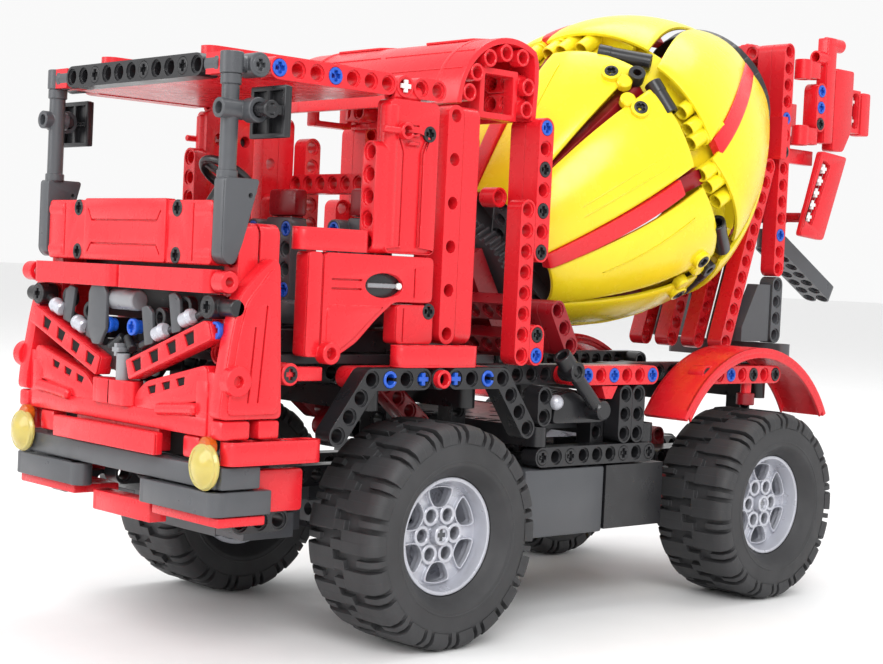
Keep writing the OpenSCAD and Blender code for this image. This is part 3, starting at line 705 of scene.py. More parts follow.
def drum_panels():
    front_shell, rear_shell = Shape(), Shape()
    strips, connectors, pins, cores = Shape(), Shape(), Shape(), Shape()
    for quarter in range(4):
        turn = 90 * quarter

        def patch(corners, *shape):
            return drum_patch([(s, a + turn) for s, a in corners], *shape)

        # front pair, on both sides of the straight strip
        for corners in (
            [(-1.3, 41.5), (-10.6, 46), (-10.6, 3), (-2.0, 7)],
            [(-1.9, -2.5), (-10.6, -9), (-10.6, -43.5), (-0.9, -38.5)]
        ):
            front_shell.add(patch(corners, front_sink, 0.1), DRUM)
        corners = [(-3.2, 5.6), (-10.65, 2.6), (-10.65, -8.6), (-3.2, -0.8)]
        strips.add(patch(corners, lambda s: front_sink(s) - 0.13, 0, 0.6), DRUM)
        # rear pair, on both sides of the slanted strip
        for corners in (
            [(8.9, 68), (-0.2, 46), (-0.5, 12), (8.9, 28.5)],
            [(8.9, 20.5), (-0.9, 6), (0.5, -36), (8.9, -18)]
        ):
            rear_shell.add(patch(corners, rear_sink, 0.16), DRUM)
        strips.add(patch([(8.95, 29.5), (-0.3, 12), (-0.3, 5.5), (8.95, 20)], lambda _: 0, 0, 0.6), DRUM)

        # tubes of the rear panels' front ends
        for s, a in (
            (-0.5, 27), (-0.8, 20), (-1.1, 15), (-0.2, 14), (-1.3, 2), (-0.4, 0), (-1.1, -4), (-0.7, -12)
        ):
            start = on_drum(s - 0.35, a + turn, drum_r(s) - 0.62)
            end = on_drum(s + 1.2, a + turn, drum_r(s) - 0.5)
            rear_shell.add(tube(0.44, 0.32, 1.5), DRUM @ along(start, end))
        # walls under the rear panels' front edges, between the tubes
        for low, high, s in ((16, 40, 0.25), (-30, 2, 0.3)):
            corners = [(s + 0.35, high), (s, high), (s, low), (s + 0.35, low)]
            rear_shell.add(patch(corners, lambda _: 0.32, 0, 1.3, 3, 8), DRUM)
        # black connectors in the seam
        for start, end in (((-1.0, 43), (-1.5, 29)), ((-1.1, -21), (0.1, -40))):
            first, last = [(s, a + turn) for s, a in (start, end)]
            matrix, length = drum_bar(first, last, -0.45)
            connectors.add(tube(0.44, 0.26, length), matrix)
            connectors.add(tube(0.47, 0.26, 0.7), matrix)
        # round lugs and pins at the front panels' rear corners
        for s, a in ((-3.0, 37.5), (-2.4, -34)):
            plane = drum_facing(s, a + turn, 0.02)
            front_shell.add(tube(0.52, 0.3, 0.5), plane @ flat(-0.42))
            pins.add(pin_head(), plane @ flat(0.12))
        for s, a in ((-2.9, 43.5), (-2.2, -40)):
            front_shell.add(rod(0.42, 0.6, 0.1), drum_facing(s, a + turn, -0.6))
        pins.add(tube(0.45, 0.22, 0.7), drum_facing(-1.5, -41.5 + turn, -0.55))
        # red beams that show through the gaps between the panels
        for a in (47, 1):
            cores.add(*drum_core((-8.6, a + turn), (-1.2, a + turn), -1.15))
        cores.add(*drum_core((1.2, 48 + turn), (8.6, 66 + turn), -1.1))
        # thin ribs moulded along the panels
        for start, end in (((-8.4, 18), (-3.2, 17)), ((-8.5, 13), (-3.4, 12.6)), ((-8.4, -22), (-2.9, -12)),
                           ((1.0, 38), (8.0, 52)), ((1.4, -6), (8.0, 8))):
            target, sink = (front_shell, front_sink) if start[0] < 0 else (rear_shell, rear_sink)
            edges = ((start, 0.25), (end, 0.25), (end, -0.25), (start, -0.25))
            corners = [(s, a + half) for (s, a), half in edges]
            target.add(patch(corners, lambda s, under=sink: under(s) - 0.12, 0, 0.1, 8, 1), DRUM)
    # wall under the seam
    low = drum_r(0) - 1.4
    rear_shell.add(lathe([(low, -1.4), (low + 0.15, -1.4), (low + 0.6, 1.25), (low + 0.45, 1.25)], 72), DRUM)
    front_shell.finish("drum_front_shell", "drum", "yellow", "drum_front_panels")
    rear_shell.finish("drum_rear_shell", "drum", "yellow", "drum_rear_panels")
    strips.finish("drum_strip_panels", "drum", "red", "drum_strips")
    connectors.finish("drum_connectors", "drum", "black")
    pins.finish("drum_pins", "drum", "black")
    cores.finish("drum_core_beams", "drum", "dark_red")


def drum_hub():
    """Shaft between the bearing and the drum, with the disc that closes the drum's front end."""
    solid = Shape()
    solid.add(lathe([(0, -13.6), (0.29, -13.6), (0.29, -12.1), (0, -12.1)], 24), DRUM)
    solid.add(lathe([(0, -11.1), (0.75, -11.1), (0.75, -9), (0, -9)], 32), DRUM)
    solid.add(lathe([(0, -9.4), (4.3, -9.4), (4.5, -9.3), (4.5, -9.1), (0, -9.1)], 64), DRUM)
    for i in range(6):
        turn = DRUM @ Matrix.Rotation(tau * i / 6, 4, "Z")
        solid.add(beam(3), turn @ frame_at((1.3, 0, -9.75), X, Y))
    solid.finish("drum_hub", "drum", "dark_grey", "drum_shaft")


def drum_rings():
    """Middle ring under the seam, and the toothed ring round the drum's mouth."""
    rings = Shape()
    middle, mouth = drum_r(1) - 1.05, 4.2
    rings.add(lathe([(middle - 0.3, 0.55), (middle, 0.55), (middle, 1.5), (middle - 0.3, 1.5)], 72), DRUM)
    rings.add(lathe([
        (mouth - 0.68, 9.1), (mouth - 0.64, 9.06), (mouth - 0.05, 9.06), (mouth, 9.12), (mouth, 9.98),
        (mouth - 0.05, 10.04), (mouth - 0.64, 10.04), (mouth - 0.68, 10.0)
    ], 72), DRUM)
    for i in range(24):
        turn = DRUM @ Matrix.Rotation(tau * i / 24, 4, "Z")
        rings.add(box((mouth - 0.05, -0.16, 9.2), (mouth + 0.02, 0.16, 9.9), 0.02), turn)
    rings.finish("drum_rings", "drum", "black", "drum_frame")


drum_panels()
drum_hub()
drum_rings()

# ---- cab ----

WALL = 7.5


def cab_sides():
    solid = Shape(mirrored=True)
    tall = rounded([(-2.8, 17.55), (0.16, 17.55), (0.16, 24.42), (-2.8, 24.42)], 0.35)
    lines = [groove((y, 17.9), (y, 22.1), (y + lean, 22.8)) for y, lean in ((-1.95, -0.3), (-0.75, 0.3))]
    ridges = [groove((-1.6, z), (-1.05, z), width=0.05) for z in (22.5, 22.9, 23.3)]
    solid.panel(side(WALL), tall, [circle(HOLE_R, -0.4, 23), circle(HOLE_R, -2, 23)], lines + ridges)
    # upright of the window frame, with a rounded front edge
    solid.add(rod(0.42, 6.4, 0.1), flat(17.8, WALL - 0.36, -2.55))
    solid.beam((7, -7, 18), Y, Z, 4)
    solid.beam((7, -3, 18), Z, Y, 5)
    solid.beam((8, -2, 13), Y, Z, 5)
    solid.beam((8, -11, 9), Y, Z, 5)
    for y in (-10.2, -9.1):
        solid.beam((7, y, 14), Z, Y, 5)
    # connectors at the roof's corner and the short bar in front of the red pin
    solid.tube((6.55, -2, 25), (7.45, -2, 25), HALF_BEAM, HOLE_R)
    solid.tube((7, -2.5, 24.7), (7, -0.9, 24.7), 0.42, 0.2)
    solid.add(split_pin(0.35), side(WALL, -2, 23))
    solid.rod((7.62, -3.3, 23), (7.62, -2.1, 23), 0.16)
    # block below the door's front end
    solid.tube((7.0, -7.93, 12.2), (7.75, -7.93, 12.2), HALF_BEAM, HOLE_R)
    solid.box((6.9, 7.6), (-8.4, -6.1), (11.9, 12.5))
    solid.finish("cab_sides", "root", "red", "cab_side_panels")
    low = Shape(mirrored=True)
    low.panel(side(7.7), rounded([(-9.6, 6.4), (-7, 6.4), (-7, 8.2), (-9.6, 8.2)], 0.2), thick=0.5)
    low.finish("cab_low_panels", "root", "red")
    ends = Shape(mirrored=True)
    ends.add(axle_end(), side(7.5, -2, 25))
    ends.finish("cab_axle_ends", "root", "light_grey", material="white")


def doors():
    handle = ellipse(1.1, 0.55, -2.7, 16.1)
    solid = Shape(mirrored=True)
    main = rounded([
        (-6.15, 12.92), (-5.3, 12.92), (-4.2, 13.55), (-3.1, 14.6), (-2.1, 15.38), (0.2, 15.38), (0.2, 17.45),
        (-6.15, 17.45)
    ], 0.3)
    lines = [groove((-5.7, 16.3), (-4.0, 16.3), width=0.06), groove((-5.7, 15.9), (-4.0, 15.9), width=0.06),
             groove((-0.9, 15.6), (-0.9, 16.9), width=0.06)]
    solid.panel(side(WALL), main, [handle], lines, bevel=0.1)
    solid.add(plate([ellipse(1.3, 0.7, -2.7, 16.1)], 0.1, 0.02), side(7.05))
    bulge = [(-5.95, 13.1), (-5.3, 13.12), (-4.3, 13.8), (-3.2, 14.8), (-2.6, 15.2), (-5.95, 15.2)]
    solid.add(plate([rounded(bulge, 0.4)], 0.2, 0.09), side(WALL - 0.02))
    solid.panel(side(WALL), rounded([(-7, 12.92), (-6.25, 12.92), (-6.25, 17.45), (-7, 17.45)], 0.2))
    line = groove((-1.5, 13.6), (-1.5, 15.1), width=0.06)
    solid.panel(side(WALL), rectangle(-1.9, 0.3, 13.5, 15.28, 0.25), [circle(HOLE_R, 0, 15)], [line])
    solid.tube((7.3, -5.9, 13.1), (7.95, -5.9, 13.1), 0.48, 0.26)
    solid.finish("doors", "root", "red", "door_panels")
    recess = Shape(mirrored=True)
    recess.add(plate([ellipse(1.12, 0.57, -2.7, 16.1)], 0.1, 0.02), side(7.2))
    recess.finish("door_recesses", "root", "black")
    grips = Shape(mirrored=True)
    grips.box((7.26, 7.42), (-3.6, -1.95), (15.98, 16.2), 0.07)
    grips.finish("door_grips", "root", "light_grey", "door_handles")
    ends = Shape(mirrored=True)
    ends.rod((7.3, -1.8, 16.09), (7.5, -1.8, 16.09), 0.15)
    ends.finish("door_grip_ends", "root", "light_grey", material="white")


def corner_fairings():
    solid = Shape(mirrored=True)
    outline = rounded([
        (-11.85, 10.4), (-11.8, 11.2), (-11.4, 13.8), (-11.05, 15.5), (-10.3, 16.3), (-9.4, 17.1),
        (-9.1, 16.8), (-8.75, 10.4)
    ], 0.3)
    solid.panel(side(8.3), outline, (), (), 0.8, 0.1)
    swell = rounded([
        (-11.6, 10.6), (-11.55, 11.2), (-11.15, 13.8), (-10.8, 15.2), (-10.1, 16.0), (-9.55, 16.7),
        (-9.35, 16.4), (-9.0, 10.6)
    ], 0.3)
    lines = [groove((-10.6, 11.1), (-10.35, 14.2)), groove((-10.1, 11.1), (-9.8, 15.1))]
    solid.panel(side(8.45), swell, (), lines, 0.3, 0.11)
    solid.box((6.6, 7.5), (-11.65, -10.6), (9.55, 12.3), 0.1)
    for y0, y1 in ((-11.75, -10.3), (-9.9, -8.8)):
        solid.box((7.45, 8.3), (y0, y1), (9.55, 10.35), 0.14)
    solid.tube((8.2, -11.3, 12), (8.75, -11.3, 12), 0.62, 0.24)
    solid.finish("corner_fairing_panels", "root", "red", "corner_fairings")


# ---- front ----

V_SLOPE, LOW_SLOPE = radians(19.3), radians(13)
UPPER_WINDOWS = [(0.75 + 1.38 * i, 0.02) for i in range(4)]
LOWER_WINDOWS = [(1.25 + 1.1 * i, 0.0) for i in range(3)]


def tilted_front(y, x, z, angle):
    return front(y, x, z) @ Matrix.Rotation(angle, 4, "Z")


def window(x, y, wide=0.38, narrow=0.27, half=0.26):
    return [(x - narrow, y - half), (x + narrow, y - half), (x + wide, y + half), (x - wide, y + half)]


def grille():
    solid = Shape(mirrored=True)
    upper = rounded([(-0.05, -0.45), (6.35, -0.45), (6.35, 0.3), (6.1, 0.45), (-0.05, 0.45)], 0.12)
    windows = [window(*place) for place in UPPER_WINDOWS]
    solid.panel(tilted_front(-11.85, 1.25, 11.95, V_SLOPE), upper, windows, thick=0.75, bevel=0.05)
    lower = rounded([(0, -0.9), (5.4, -1.0), (5.4, 0.42), (0.9, 0.42), (0.1, 0.1), (-0.25, -0.4)], 0.3)
    windows = [window(*place, 0.33, 0.24, 0.16) for place in LOWER_WINDOWS]
    solid.panel(tilted_front(-11.7, 1.75, 10.95, LOW_SLOPE), lower, windows, thick=0.7, bevel=0.06)
    solid.rod((3.6, -11.75, 10.45), (6.5, -11.75, 10.7), 0.26, 0.12)
    solid.box((-0.1, 1.3), (-12.0, -11.0), (10.35, 11.45), 0.06)
    solid.rod((1.15, -11.55, 10.35), (1.15, -11.55, 11.45), 0.45)
    solid.box((-0.1, 3.4), (-11.5, -10.8), (8.6, 9.7), 0.08)
    solid.box((6.3, 7.15), (-11.75, -10.8), (10.3, 11.9), 0.12)
    solid.box((5.3, 6.5), (-11.6, -10.9), (8.6, 9.55), 0.14)
    # strip under the lower bumper
    solid.box((3.2, 8.1), (-11.6, -9.2), (5.95, 6.36), 0.08)
    # tubes at the ends of the long front beams
    solid.tube((7.35, -11.5, 16), (8.1, -11.5, 16), 0.45, 0.2)
    solid.finish("grille_panels_red", "root", "red", "grille_panels")
    # beam across the front, and the round-ended one under the middle of the bumper
    low_beam = Shape()
    low_beam.box((-7.14, 7.14), (-11.75, -10.8), (9.6, 10.4), 0.08)
    low_beam.box((-1.9, 2.6), (-11.3, -10.4), (5.4, 6.3), 0.06)
    low_beam.rod((-1.9, -10.85, 5.4), (-1.9, -10.85, 6.3), 0.45)
    low_beam.finish("bumper_low_beam", "root", "red")
    plate_piece = Shape()
    plate_piece.panel(front(-12.3), rectangle(-4.1, 4.25, 8.56, 9.5, 0.08), (), (), 0.42, 0.05)
    plate_piece.finish("number_plate_blank", "root", "red", "number_plate")


def grille_details():
    black, openings = Shape(mirrored=True), Shape(mirrored=True)
    openings.box((-0.1, 5.3), (-10.9, -10.7), (8.5, 9.7), 0.02)
    for place in UPPER_WINDOWS:
        back = plate([window(*place, 0.37, 0.26, 0.25)], 0.1, 0.01)
        openings.add(back, tilted_front(-11.7, 1.25, 11.95, V_SLOPE))
    for place in LOWER_WINDOWS:
        back = plate([window(*place, 0.32, 0.23, 0.15)], 0.1, 0.01)
        openings.add(back, tilted_front(-11.55, 1.75, 10.95, LOW_SLOPE))
    backing = [(0.6, 11.7), (7.0, 13.9), (7.0, 14.3), (0.6, 12.6)]
    black.add(plate([backing], 0.2, 0.02), front(-11.1))
    black.add(plate([[(1.6, 10.6), (6.6, 11.6), (6.6, 12.1), (1.6, 11.3)]], 0.2, 0.02), front(-11.0))
    black.rod((1.5, -11.3, 13.0), (6.8, -11.3, 14.9), 0.2)
    black.tube((6.9, -10.9, 14.95), (6.9, -11.75, 14.95), 0.5, 0.3)
    black.add(pin_head(), front(-11.78, 6.9, 14.95))
    black.rod((7.2, -11.2, 14.95), (8.3, -11.2, 14.95), 0.36)
    black.rod((0.2, -11.2, 13.3), (0.9, -11.4, 12.8), 0.22)
    for x in (2.9, 4.8):
        black.tube((x, -11, 14.3 + (x - 2.9) * 0.3), (x, -11.4, 14.3 + (x - 2.9) * 0.3), 0.45, 0.25)
    black.finish("grille_black", "root", "black", "grille_trim")
    openings.finish("grille_openings", "root", "black", material="shade")
    silver = Shape(mirrored=True)
    for x, z in ((5.3, 14.4), (3.3, 13.7)):
        run = Vector((cos(V_SLOPE), 0, sin(V_SLOPE))) * 0.42
        middle = Vector((x, -11.55, z))
        silver.rod(middle - run, middle + run, 0.32, 0.08)
        silver.rod(middle + run * 0.3, middle + run * 0.6, 0.36, 0.05)
    silver.finish("grille_silver", "root", "silver_plastic")
    post = Shape()
    post.tube((0.5, -11.6, 11.4), (0.5, -11.6, 12.6), 0.3, 0.1)
    post.add(axle_end(0.5), front(-11.5, 0.05, 12.75))
    post.rod((-1.0, -11.25, 14.95), (1.1, -11.25, 14.95), 0.45, 0.06)
    post.finish("grille_grey", "root", "light_grey")
    blades = Shape(mirrored=True)
    for x, z in ((4.35, 14.6), (2.3, 13.95)):
        outline = rounded([(-0.38, -0.85), (0.3, -0.85), (0.42, 0.5), (0.1, 0.85), (-0.38, 0.85)], 0.1)
        blades.add(plate([outline], 0.18, 0.04), tilted_front(-11.5, x, z, radians(12)))
    blades.finish("grille_blades", "root", "dark_grey")
    big = Shape()
    outline = rounded([
        (-0.75, -0.9), (-0.3, -1.6), (0.3, -1.6), (0.75, -0.9), (0.75, 0.7), (0.45, 1.15),
        (-0.45, 1.15), (-0.75, 0.7)
    ], 0.1)
    big.add(plate([outline], 0.2, 0.05), front(-11.75, -1.45, 14.5))
    big.finish("grille_big_blade", "root", "dark_grey")


def lights_and_bumper():
    lens, orange, bar = Shape(mirrored=True), Shape(mirrored=True), Shape(mirrored=True)
    place = front(-11.75, 7.45, 8.45)
    lens.add(lathe([(0, 0), (0.82, 0), (0.98, 0.12), (1.0, 0.2), (0.92, 0.33), (0, 0.33)], 48), place)
    lens.add(lathe([(0, 0.3), (0.9, 0.3), (0.62, 0.5), (0.3, 0.6), (0, 0.63)], 8), place)
    lens.finish("headlight_lenses", "root", "clear_yellow", "headlights")
    orange.add(lathe([(0, 0), (0.42, 0), (0.42, 0.35), (0.3, 0.45), (0, 0.45)], 24), front(-11.6, 7.42, 9.25))
    orange.finish("indicator_lenses", "root", "clear_yellow", material="orange")
    middle = Shape()
    middle.box((-7.9, 7.9), (-11.75, -10.7), (7.5, 8.45), 0.1)
    middle.finish("bumper_bar", "root", "dark_grey")
    bar.box((7.5, 8.2), (-11.6, -9.6), (7.5, 8.45), 0.1)
    bar.box((2.9, 7.7), (-11.95, -10.95), (6.4, 7.42), 0.06)
    bar.rod((2.9, -11.45, 6.4), (2.9, -11.45, 7.42), 0.5)
    bar.rod((7.7, -11.45, 6.4), (7.7, -11.45, 7.42), 0.5)
    bar.box((7.3, 8.2), (-11.4, -9.0), (6.4, 7.42), 0.06)
    bar.finish("bumper_bars", "root", "dark_grey", "bumper")


def windscreen():
    solid = Shape()
    places = [(x, z) for x in (-4, 4) for z in (17, 19)]
    holes = [circle(HOLE_R, *p) for p in places]
    uprights = [groove((x, 16.8), (x, 19.2)) for x in (-5.2, 5.2)]
    solid.panel(front(-11.45), rectangle(-6.6, 6.6, 16.65, 19.35, 0.25), holes, uprights, bevel=0.1)
    lines = [
        groove((-3.0, 18.95), (-2.7, 18.45), (2.6, 18.45), (2.9, 18.9)),
        groove((-3.0, 17.0), (-2.7, 17.4), (2.6, 17.4), (2.9, 17.0))
    ]
    solid.panel(front(-11.56), rectangle(-3.3, 3.3, 16.66, 19.42, 0.15), (), lines, 0.5, 0.04)
    for x in (-1, 1):
        for z in (17.08, 18.92):
            solid.rod((5.3 * x, -11.08, z), (6.6 * x, -11.08, z), 0.43, 0.06)
    solid.finish("windscreen_cover", "root", "red", "windscreen_panel")


def pillars():
    solid = Shape(mirrored=True)
    blade = [(-11.5, 17.0), (-11.2, 16.7), (-10.85, 16.75), (-10.5, 17.6), (-9.75, 20.3), (-11.5, 20.3)]
    solid.panel(side(7.5), rounded(blade, 0.2), [circle(0.1, -10.2, 19.6, 12)], (), 0.8, 0.1)
    solid.rod((6.95, -11.06, 20.2), (6.95, -11.06, 24.6), 0.37, 0.04)
    for low, high in ((20.25, 20.6), (24.1, 24.55)):
        solid.rod((6.95, -11.06, low), (6.95, -11.06, high), 0.44, 0.04)
    solid.tube((6.95, -11.06, 24.55), (6.95, -11.06, 25.45), HALF_BEAM, HOLE_R)
    # sleeves and connectors round the roof's front corners
    solid.tube((5.5, -11, 25), (6.45, -11, 25), 0.46, 0.3)
    solid.rod((6.2, -11, 25), (6.5, -11, 25), 0.49, 0.04)
    solid.tube((6.5, -10, 25), (7.5, -10, 25), 0.52, 0.3)
    solid.add(pin_head(), side(7.52, -10, 25))
    solid.rod((6.95, -11.1, 25), (6.95, -10.0, 25), 0.36)
    # mirror arm
    solid.tube((7.1, -11.75, 23.1), (7.1, -10.5, 23.1), 0.42, 0.25)
    solid.tube((7.25, -10.3, 23.1), (7.95, -10.3, 23.1), 0.52, 0.31)
    solid.finish("pillars", "root", "dark_grey", "windscreen_pillars")
    for hand, flip in (("left", Matrix()), ("right", MIRROR)):
        mirror = Shape()
        windows = [rectangle(x, x + 0.9, z, z + 0.8, 0.03) for x in (6.7, 7.8) for z in (22.2, 23.15)]
        mirror.add(plate([rectangle(6.5, 8.9, 22, 24.15, 0.08), *windows], 0.22, 0.02), flip @ front(-9.59))
        mirror.add(plate([rectangle(6.52, 8.88, 22.02, 24.13, 0.08)], 0.12, 0.02), flip @ front(-9.42))
        mirror.add(rod(0.28, 1.65), flip @ along((7.1, -10.3, 23.1), (8.75, -10.3, 23.1)))
        mirror.add(box((8.1, -10.5, 22.9), (8.8, -9.6, 23.3)), flip)
        mirror.add(pin_head(), flip @ side(8.84, -10.3, 23.1))
        mirror.finish("mirror_frame_" + hand, "mirror_" + hand, "black", "mirror_" + hand)


def deflector():
    y0, z0, outer, wall = 5.2, 24.7, 3.4, 0.3
    solid = Shape()
    path = arc(outer, 180, 60, y0, z0, 20) + [(7.12, 27.1), (7.15, 26.2), (7.05, 24.3)]
    inside = arc(outer - wall, 180, 60, y0, z0, 20) + [(6.82, 27.0), (6.85, 26.2), (6.75, 24.3)]
    solid.add(plate([path + inside[::-1]], 13.7, 0.06), side(0))
    for x in (-5.2, 5.2):
        solid.add(plate([path + inside[::-1]], 0.25, 0.03), side(x, 0, 0.05))
    both = Shape(mirrored=True)
    for angle in (168, 145, 121, 97, 73):
        y, z = y0 + 2.68 * cos(radians(angle)), z0 + 2.68 * sin(radians(angle))
        both.tube((6.2, y, z), (6.86, y, z), 0.42, 0.29)
    for y, z in ((6.45, 25.9), (6.4, 24.8)):
        both.tube((6.2, y, z), (6.86, y, z), 0.42, 0.29)
    frame_loops = [rectangle(3.5, 6.0, 24.2, 26.6, 0.1), rectangle(3.8, 5.7, 24.5, 26.3, 0.1)]
    both.add(plate(frame_loops, 0.7, 0.04), side(6.2))
    both.beam((5, 6.2, 25.1), X, Y, 2)
    both.beam((5, 6.2, 26.1), X, Y, 2)
    # pocket on the top, with three holes
    lean = radians(96)
    centre = (3.4, y0 + (outer + 0.02) * cos(lean), z0 + (outer + 0.02) * sin(lean))
    top = frame_at(centre, X, (0, sin(lean), -cos(lean)))
    pocket = [rectangle(-1.7, 1.7, -0.6, 0.6, 0.15), rectangle(-1.5, 1.5, -0.45, 0.45, 0.1)]
    both.add(plate(pocket, 0.12, 0.03), top)
    for x in (-1, 0, 1):
        both.add(tube(0.38, 0.28, 0.16), top @ flat(-0.08, x))
    for angle in (130, 150):
        y, z = y0 + (outer + 0.005) * cos(radians(angle)), z0 + (outer + 0.005) * sin(radians(angle))
        both.rod((0.2, y, z), (6.6, y, z), 0.035, 0.01)
    both.finish("deflector_details", "root", "red")
    solid.finish("deflector_shell", "root", "red", "roof_deflector")


def cab_inside():
    solid, rests, pins = Shape(), Shape(), Shape()
    for x in (-3.2, 3.2):
        solid.box((x - 1.6, x + 1.6), (-4.2, -0.6), (14.05, 15.2), 0.2)
        solid.box((x - 1.1, x + 1.1), (-0.6, 0.35), (14.3, 19.2), 0.15)
        for edge in (-1.35, 1.35):
            solid.beam((x + edge, -0.7, 14.6), Z, Y, 5)
        rests.box((x - 1.1, x + 1.1), (-0.5, 0.35), (19.25, 20.6), 0.2)
        for z in (15.6, 18.6):
            for edge in (-1.35, 1.35):
                pins.add(pin_head(), front(-1.2, x + edge, z))
    solid.finish("seat_bodies", "root", "dark_grey", "seats")
    rests.finish("seat_headrests", "root", "dark_red")
    pins.finish("seat_pins", "root", "blue")


# ---- middle ----


def lever():
    solid = Shape(mirrored=True)
    for i in range(6):
        x = 5.35 + 0.38 * i
        wedge = [(8.7, 9.62), (12.4, 9.62), (12.4, 9.95), (11.3, 10.75), (10.0, 11.25), (8.9, 11.0)]
        solid.add(plate([rounded(wedge, 0.3)], 0.3, 0.06), side(x))
    solid.box((5.3, 7.3), (8.8, 12.2), (9.6, 10.0), 0.1)
    solid.finish("lever_base", "root", "black", "gear_lever")
    arm = Shape()
    foot, top = Vector((7.95, 11.4, 10.3)), Vector((7.95, 9.1, 12.5))
    arm.rod(foot, top, 0.34, 0.08)
    run = (top - foot).normalized()
    arm.add(tube(0.46, 0.28, 0.9), along(top - run * 0.1, top + run))
    arm.tube((7.45, 9.25, 12.25), (8.45, 9.25, 12.25), 0.5, 0.3)
    arm.rod((7.3, 11.4, 10.3), (8.4, 11.4, 10.3), 0.5, 0.1)
    arm.finish("lever_arm", "root", "black")
    ball = Shape(mirrored=True)
    ball.add(sphere(0.38), flat(10.7, 7.5, 8.75))
    ball.rod((7.1, 8.75, 10.7), (7.5, 8.75, 10.7), 0.2)
    ball.finish("lever_balls", "root", "silver_plastic")


def fender_details():
    red, braces = Shape(mirrored=True), Shape(mirrored=True)
    red.tube((8.4, 0, 12), (8.8, 0, 12), 0.42, 0.27)
    red.finish("fender_rings", "root", "red")
    for hand in (-1, 1):
        start, end = Vector((3.9, 0.4 * hand, 11.4)), Vector((3.9, 2.9 * hand, 9.4))
        run = (end - start).normalized()
        braces.beam(start, run, X, 4)
    braces.box((3.5, 4.3), (-0.7, 0.7), (11.0, 11.8), 0.1)
    braces.finish("fender_braces", "root", "dark_red")
    box_piece = Shape(mirrored=True)
    box_piece.box((3.6, 7.4), (6.98, 12.72), (4.02, 7.4), 0.14)
    box_piece.finish("battery_case", "root", "dark_grey", "battery_box")


# ---- rear ----


def mudguards():
    rise, half = 3.75, 6.4
    big = (half * half + rise * rise) / (2 * rise)
    reach = 90 - degrees(asin(half / big))
    outer = arc(big, reach, 180 - reach, WHEELBASE, 13.5 - big, 32)
    inner = arc(big - 0.28, reach, 180 - reach, WHEELBASE, 13.5 - big, 32)
    solid = Shape(mirrored=True)
    solid.add(plate([outer + inner[::-1]], 2.9, 0.05), side(7.05))
    for x in (5.75, 8.4):
        deep = arc(big - 0.55, reach + 1, 179 - reach, WHEELBASE, 13.5 - big, 32)
        solid.add(plate([outer[1:-1] + deep[::-1]], 0.16, 0.03), side(x))
    solid.beam((7.5, 20, 12), Y, X, 7)
    solid.tube((7.5, 24, 10.9), (7.5, 24, 11.6), 0.3, 0.15)
    solid.finish("mudguard_arches", "root", "red", "rear_mudguards")
    bush = Shape(mirrored=True)
    bush.tube((7.5, 24, 10.3), (7.5, 24, 10.95), 0.5, 0.25)
    bush.finish("mudguard_bushes", "root", "dark_red")


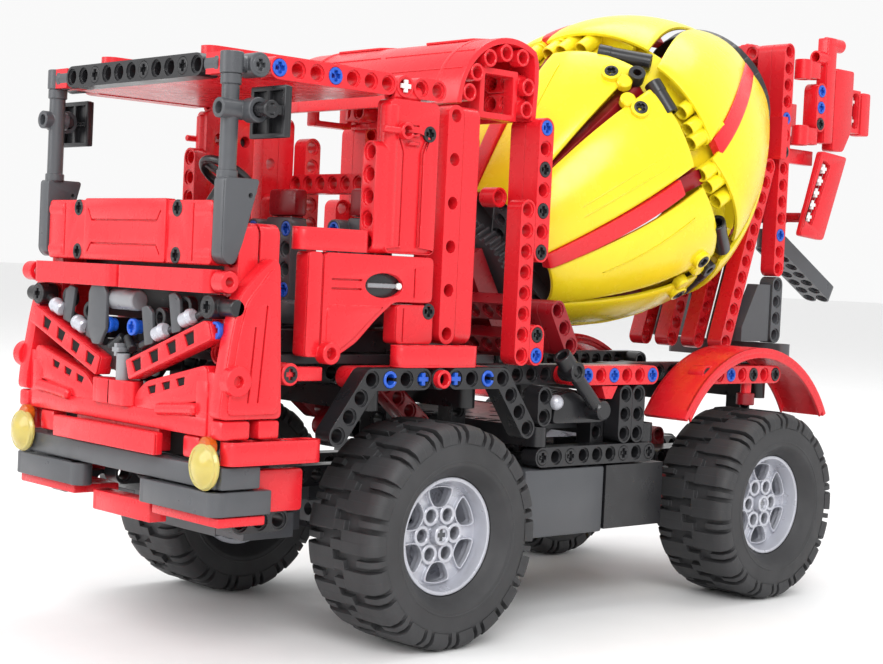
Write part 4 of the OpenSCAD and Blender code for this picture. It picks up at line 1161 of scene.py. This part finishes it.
def hopper():
    solid, dark, white = Shape(mirrored=True), Shape(mirrored=True), Shape(mirrored=True)
    solid.beam((3, 35.5, 27), Z, X, 3)
    for z in (30.2, 26.2):
        solid.beam((3, 34.1, z), Y, Z, 2)
        solid.tube((3, 34.1, z - 0.6), (3, 34.1, z + 0.6), 0.52, 0.3)
    solid.panel(side(3.4), rectangle(36.1, 37, 25.9, 32.4, 0.15), thick=0.8)
    wall = rounded([(37.05, 30.6), (39.0, 30.6), (39.0, 26.8), (38.2, 25.5), (37.05, 25.5)], 0.2)
    solid.panel(side(3.4), wall, thick=0.8)
    slot = rectangle(39.15, 39.85, 27.1, 29.3, 0.3)
    solid.panel(side(3.3), rectangle(39.0, 40.0, 26.8, 29.5, 0.05), [slot], thick=0.5)
    dark.add(plate([rectangle(38.9, 40.1, 26.95, 29.4, 0.05)], 0.1, 0.02), side(2.85))
    for z in (27.6, 28.8):
        white.add(axle_end(), side(2.95, 39.5, z))
    solid.panel(side(3.4), rectangle(40.02, 40.95, 26.7, 29.4, 0.2), thick=0.8)
    solid.box((2.2, 2.6), (37, 40.95), (27.5, 29), 0.05)
    solid.tube((3, 36.3, 32.05), (3, 37.9, 32.05), 0.42, 0.28)
    solid.tube((3, 35.3, 31.1), (3, 36.3, 31.1), 0.42, 0.28)
    # sides of the discharge funnel, each with a slot that shows axle ends
    low, high = Vector((34.95, 20.9)), Vector((36.6, 24.7))
    slot_line = [low + (high - low) * (0.1 + 0.2 * i) for i in range(5)]
    across = Vector((high.y - low.y, low.x - high.x)).normalized() * 0.42
    hole = [tuple(p) for p in (low - across, low + across, high + across, high - across)]
    outline = rounded([(36, 25.4), (38.7, 25.2), (36.6, 19.9), (34.2, 20.1)], 0.25)
    solid.panel(side(3.4), outline, [rounded(hole, 0.2)], thick=0.4, bevel=0.06)
    dark.add(plate([hole], 0.1, 0.02), side(2.95))
    for place in slot_line:
        white.add(axle_end(0.3), side(3.15, *place))
    solid.rod((-2.5, 36.55, 26.15), (2.5, 36.55, 26.15), 0.3)
    solid.rod((-2.5, 35.45, 21.25), (2.5, 35.45, 21.25), 0.3)
    solid.box((-1.2, 1.2), (35.0, 35.8), (20.9, 21.4), 0.05)
    solid.rod((0, 35.4, 19.2), (0, 35.4, 21.1), 0.29)
    solid.box((2.05, 2.5), (32.6, 36.3), (24.5, 25.4), 0.05)
    solid.finish("hopper_panels", "root", "red", "hopper_frame")
    dark.finish("hopper_slots", "root", "dark_red")
    white.finish("hopper_axle_ends", "root", "light_grey", material="white")


# ---- pins ----


def pins():
    black, blue = Shape(mirrored=True), Shape(mirrored=True)
    face = 0.02
    for x, places in (
        (7.5, ((-0.4, 23), (0, 15), (8, 8), (10, 8), (14, 8), (16, 8))),
        (7.5, ((7.2, 22), (7.2, 20), (7.2, 18), (7.2, 14))),
        (8, ((20, 12), (24, 12), (26, 12))), (3.5, ((32, 25), (35.5, 27)))
    ):
        for y, z in places:
            black.add(pin_head(), side(x + face, y, z))
    roof = Shape()
    for x in (-3, 1, 4):
        roof.add(pin_head(), front(-11.5, x, 25))
    roof.finish("roof_pins", "root", "black")
    for z in (17, 19):
        black.add(pin_head(), front(-11.47, 4, z))
    black.add(pin_head(), side(7.77, -7.93, 12.2))
    black.finish("pins_black_ends", "root", "black", "pins_black")
    for x, places in (
        (7.5, ((11, 12), (13, 12), (16, 12), (-9, 25), (-6, 25), (7.2, 24), (7.2, 13))), (8, ((22, 12),)),
        (3.5, ((32, 20), (32, 27), (35.5, 28), (35.5, 29)))
    ):
        for y, z in places:
            blue.add(pin_head(), side(x + face, y, z))
    for y in (-3, 3):
        blue.add(split_pin(0.05), side(8.5, y, 12))
    for y in (-1, 1):
        blue.add(axle_end(0.4), side(8.3, y, 12))
    for x, z in ((1.03, 13.8), (7.25, 14.0)):
        blue.add(pin_head(), front(-11.6, x, z))
    blue.finish("pins_blue_ends", "root", "blue", "pins_blue")


for make in (
    cab_sides, doors, corner_fairings, grille, grille_details, lights_and_bumper, windscreen, pillars,
    deflector, cab_inside, lever, fender_details, mudguards, hopper, pins
):
    make()
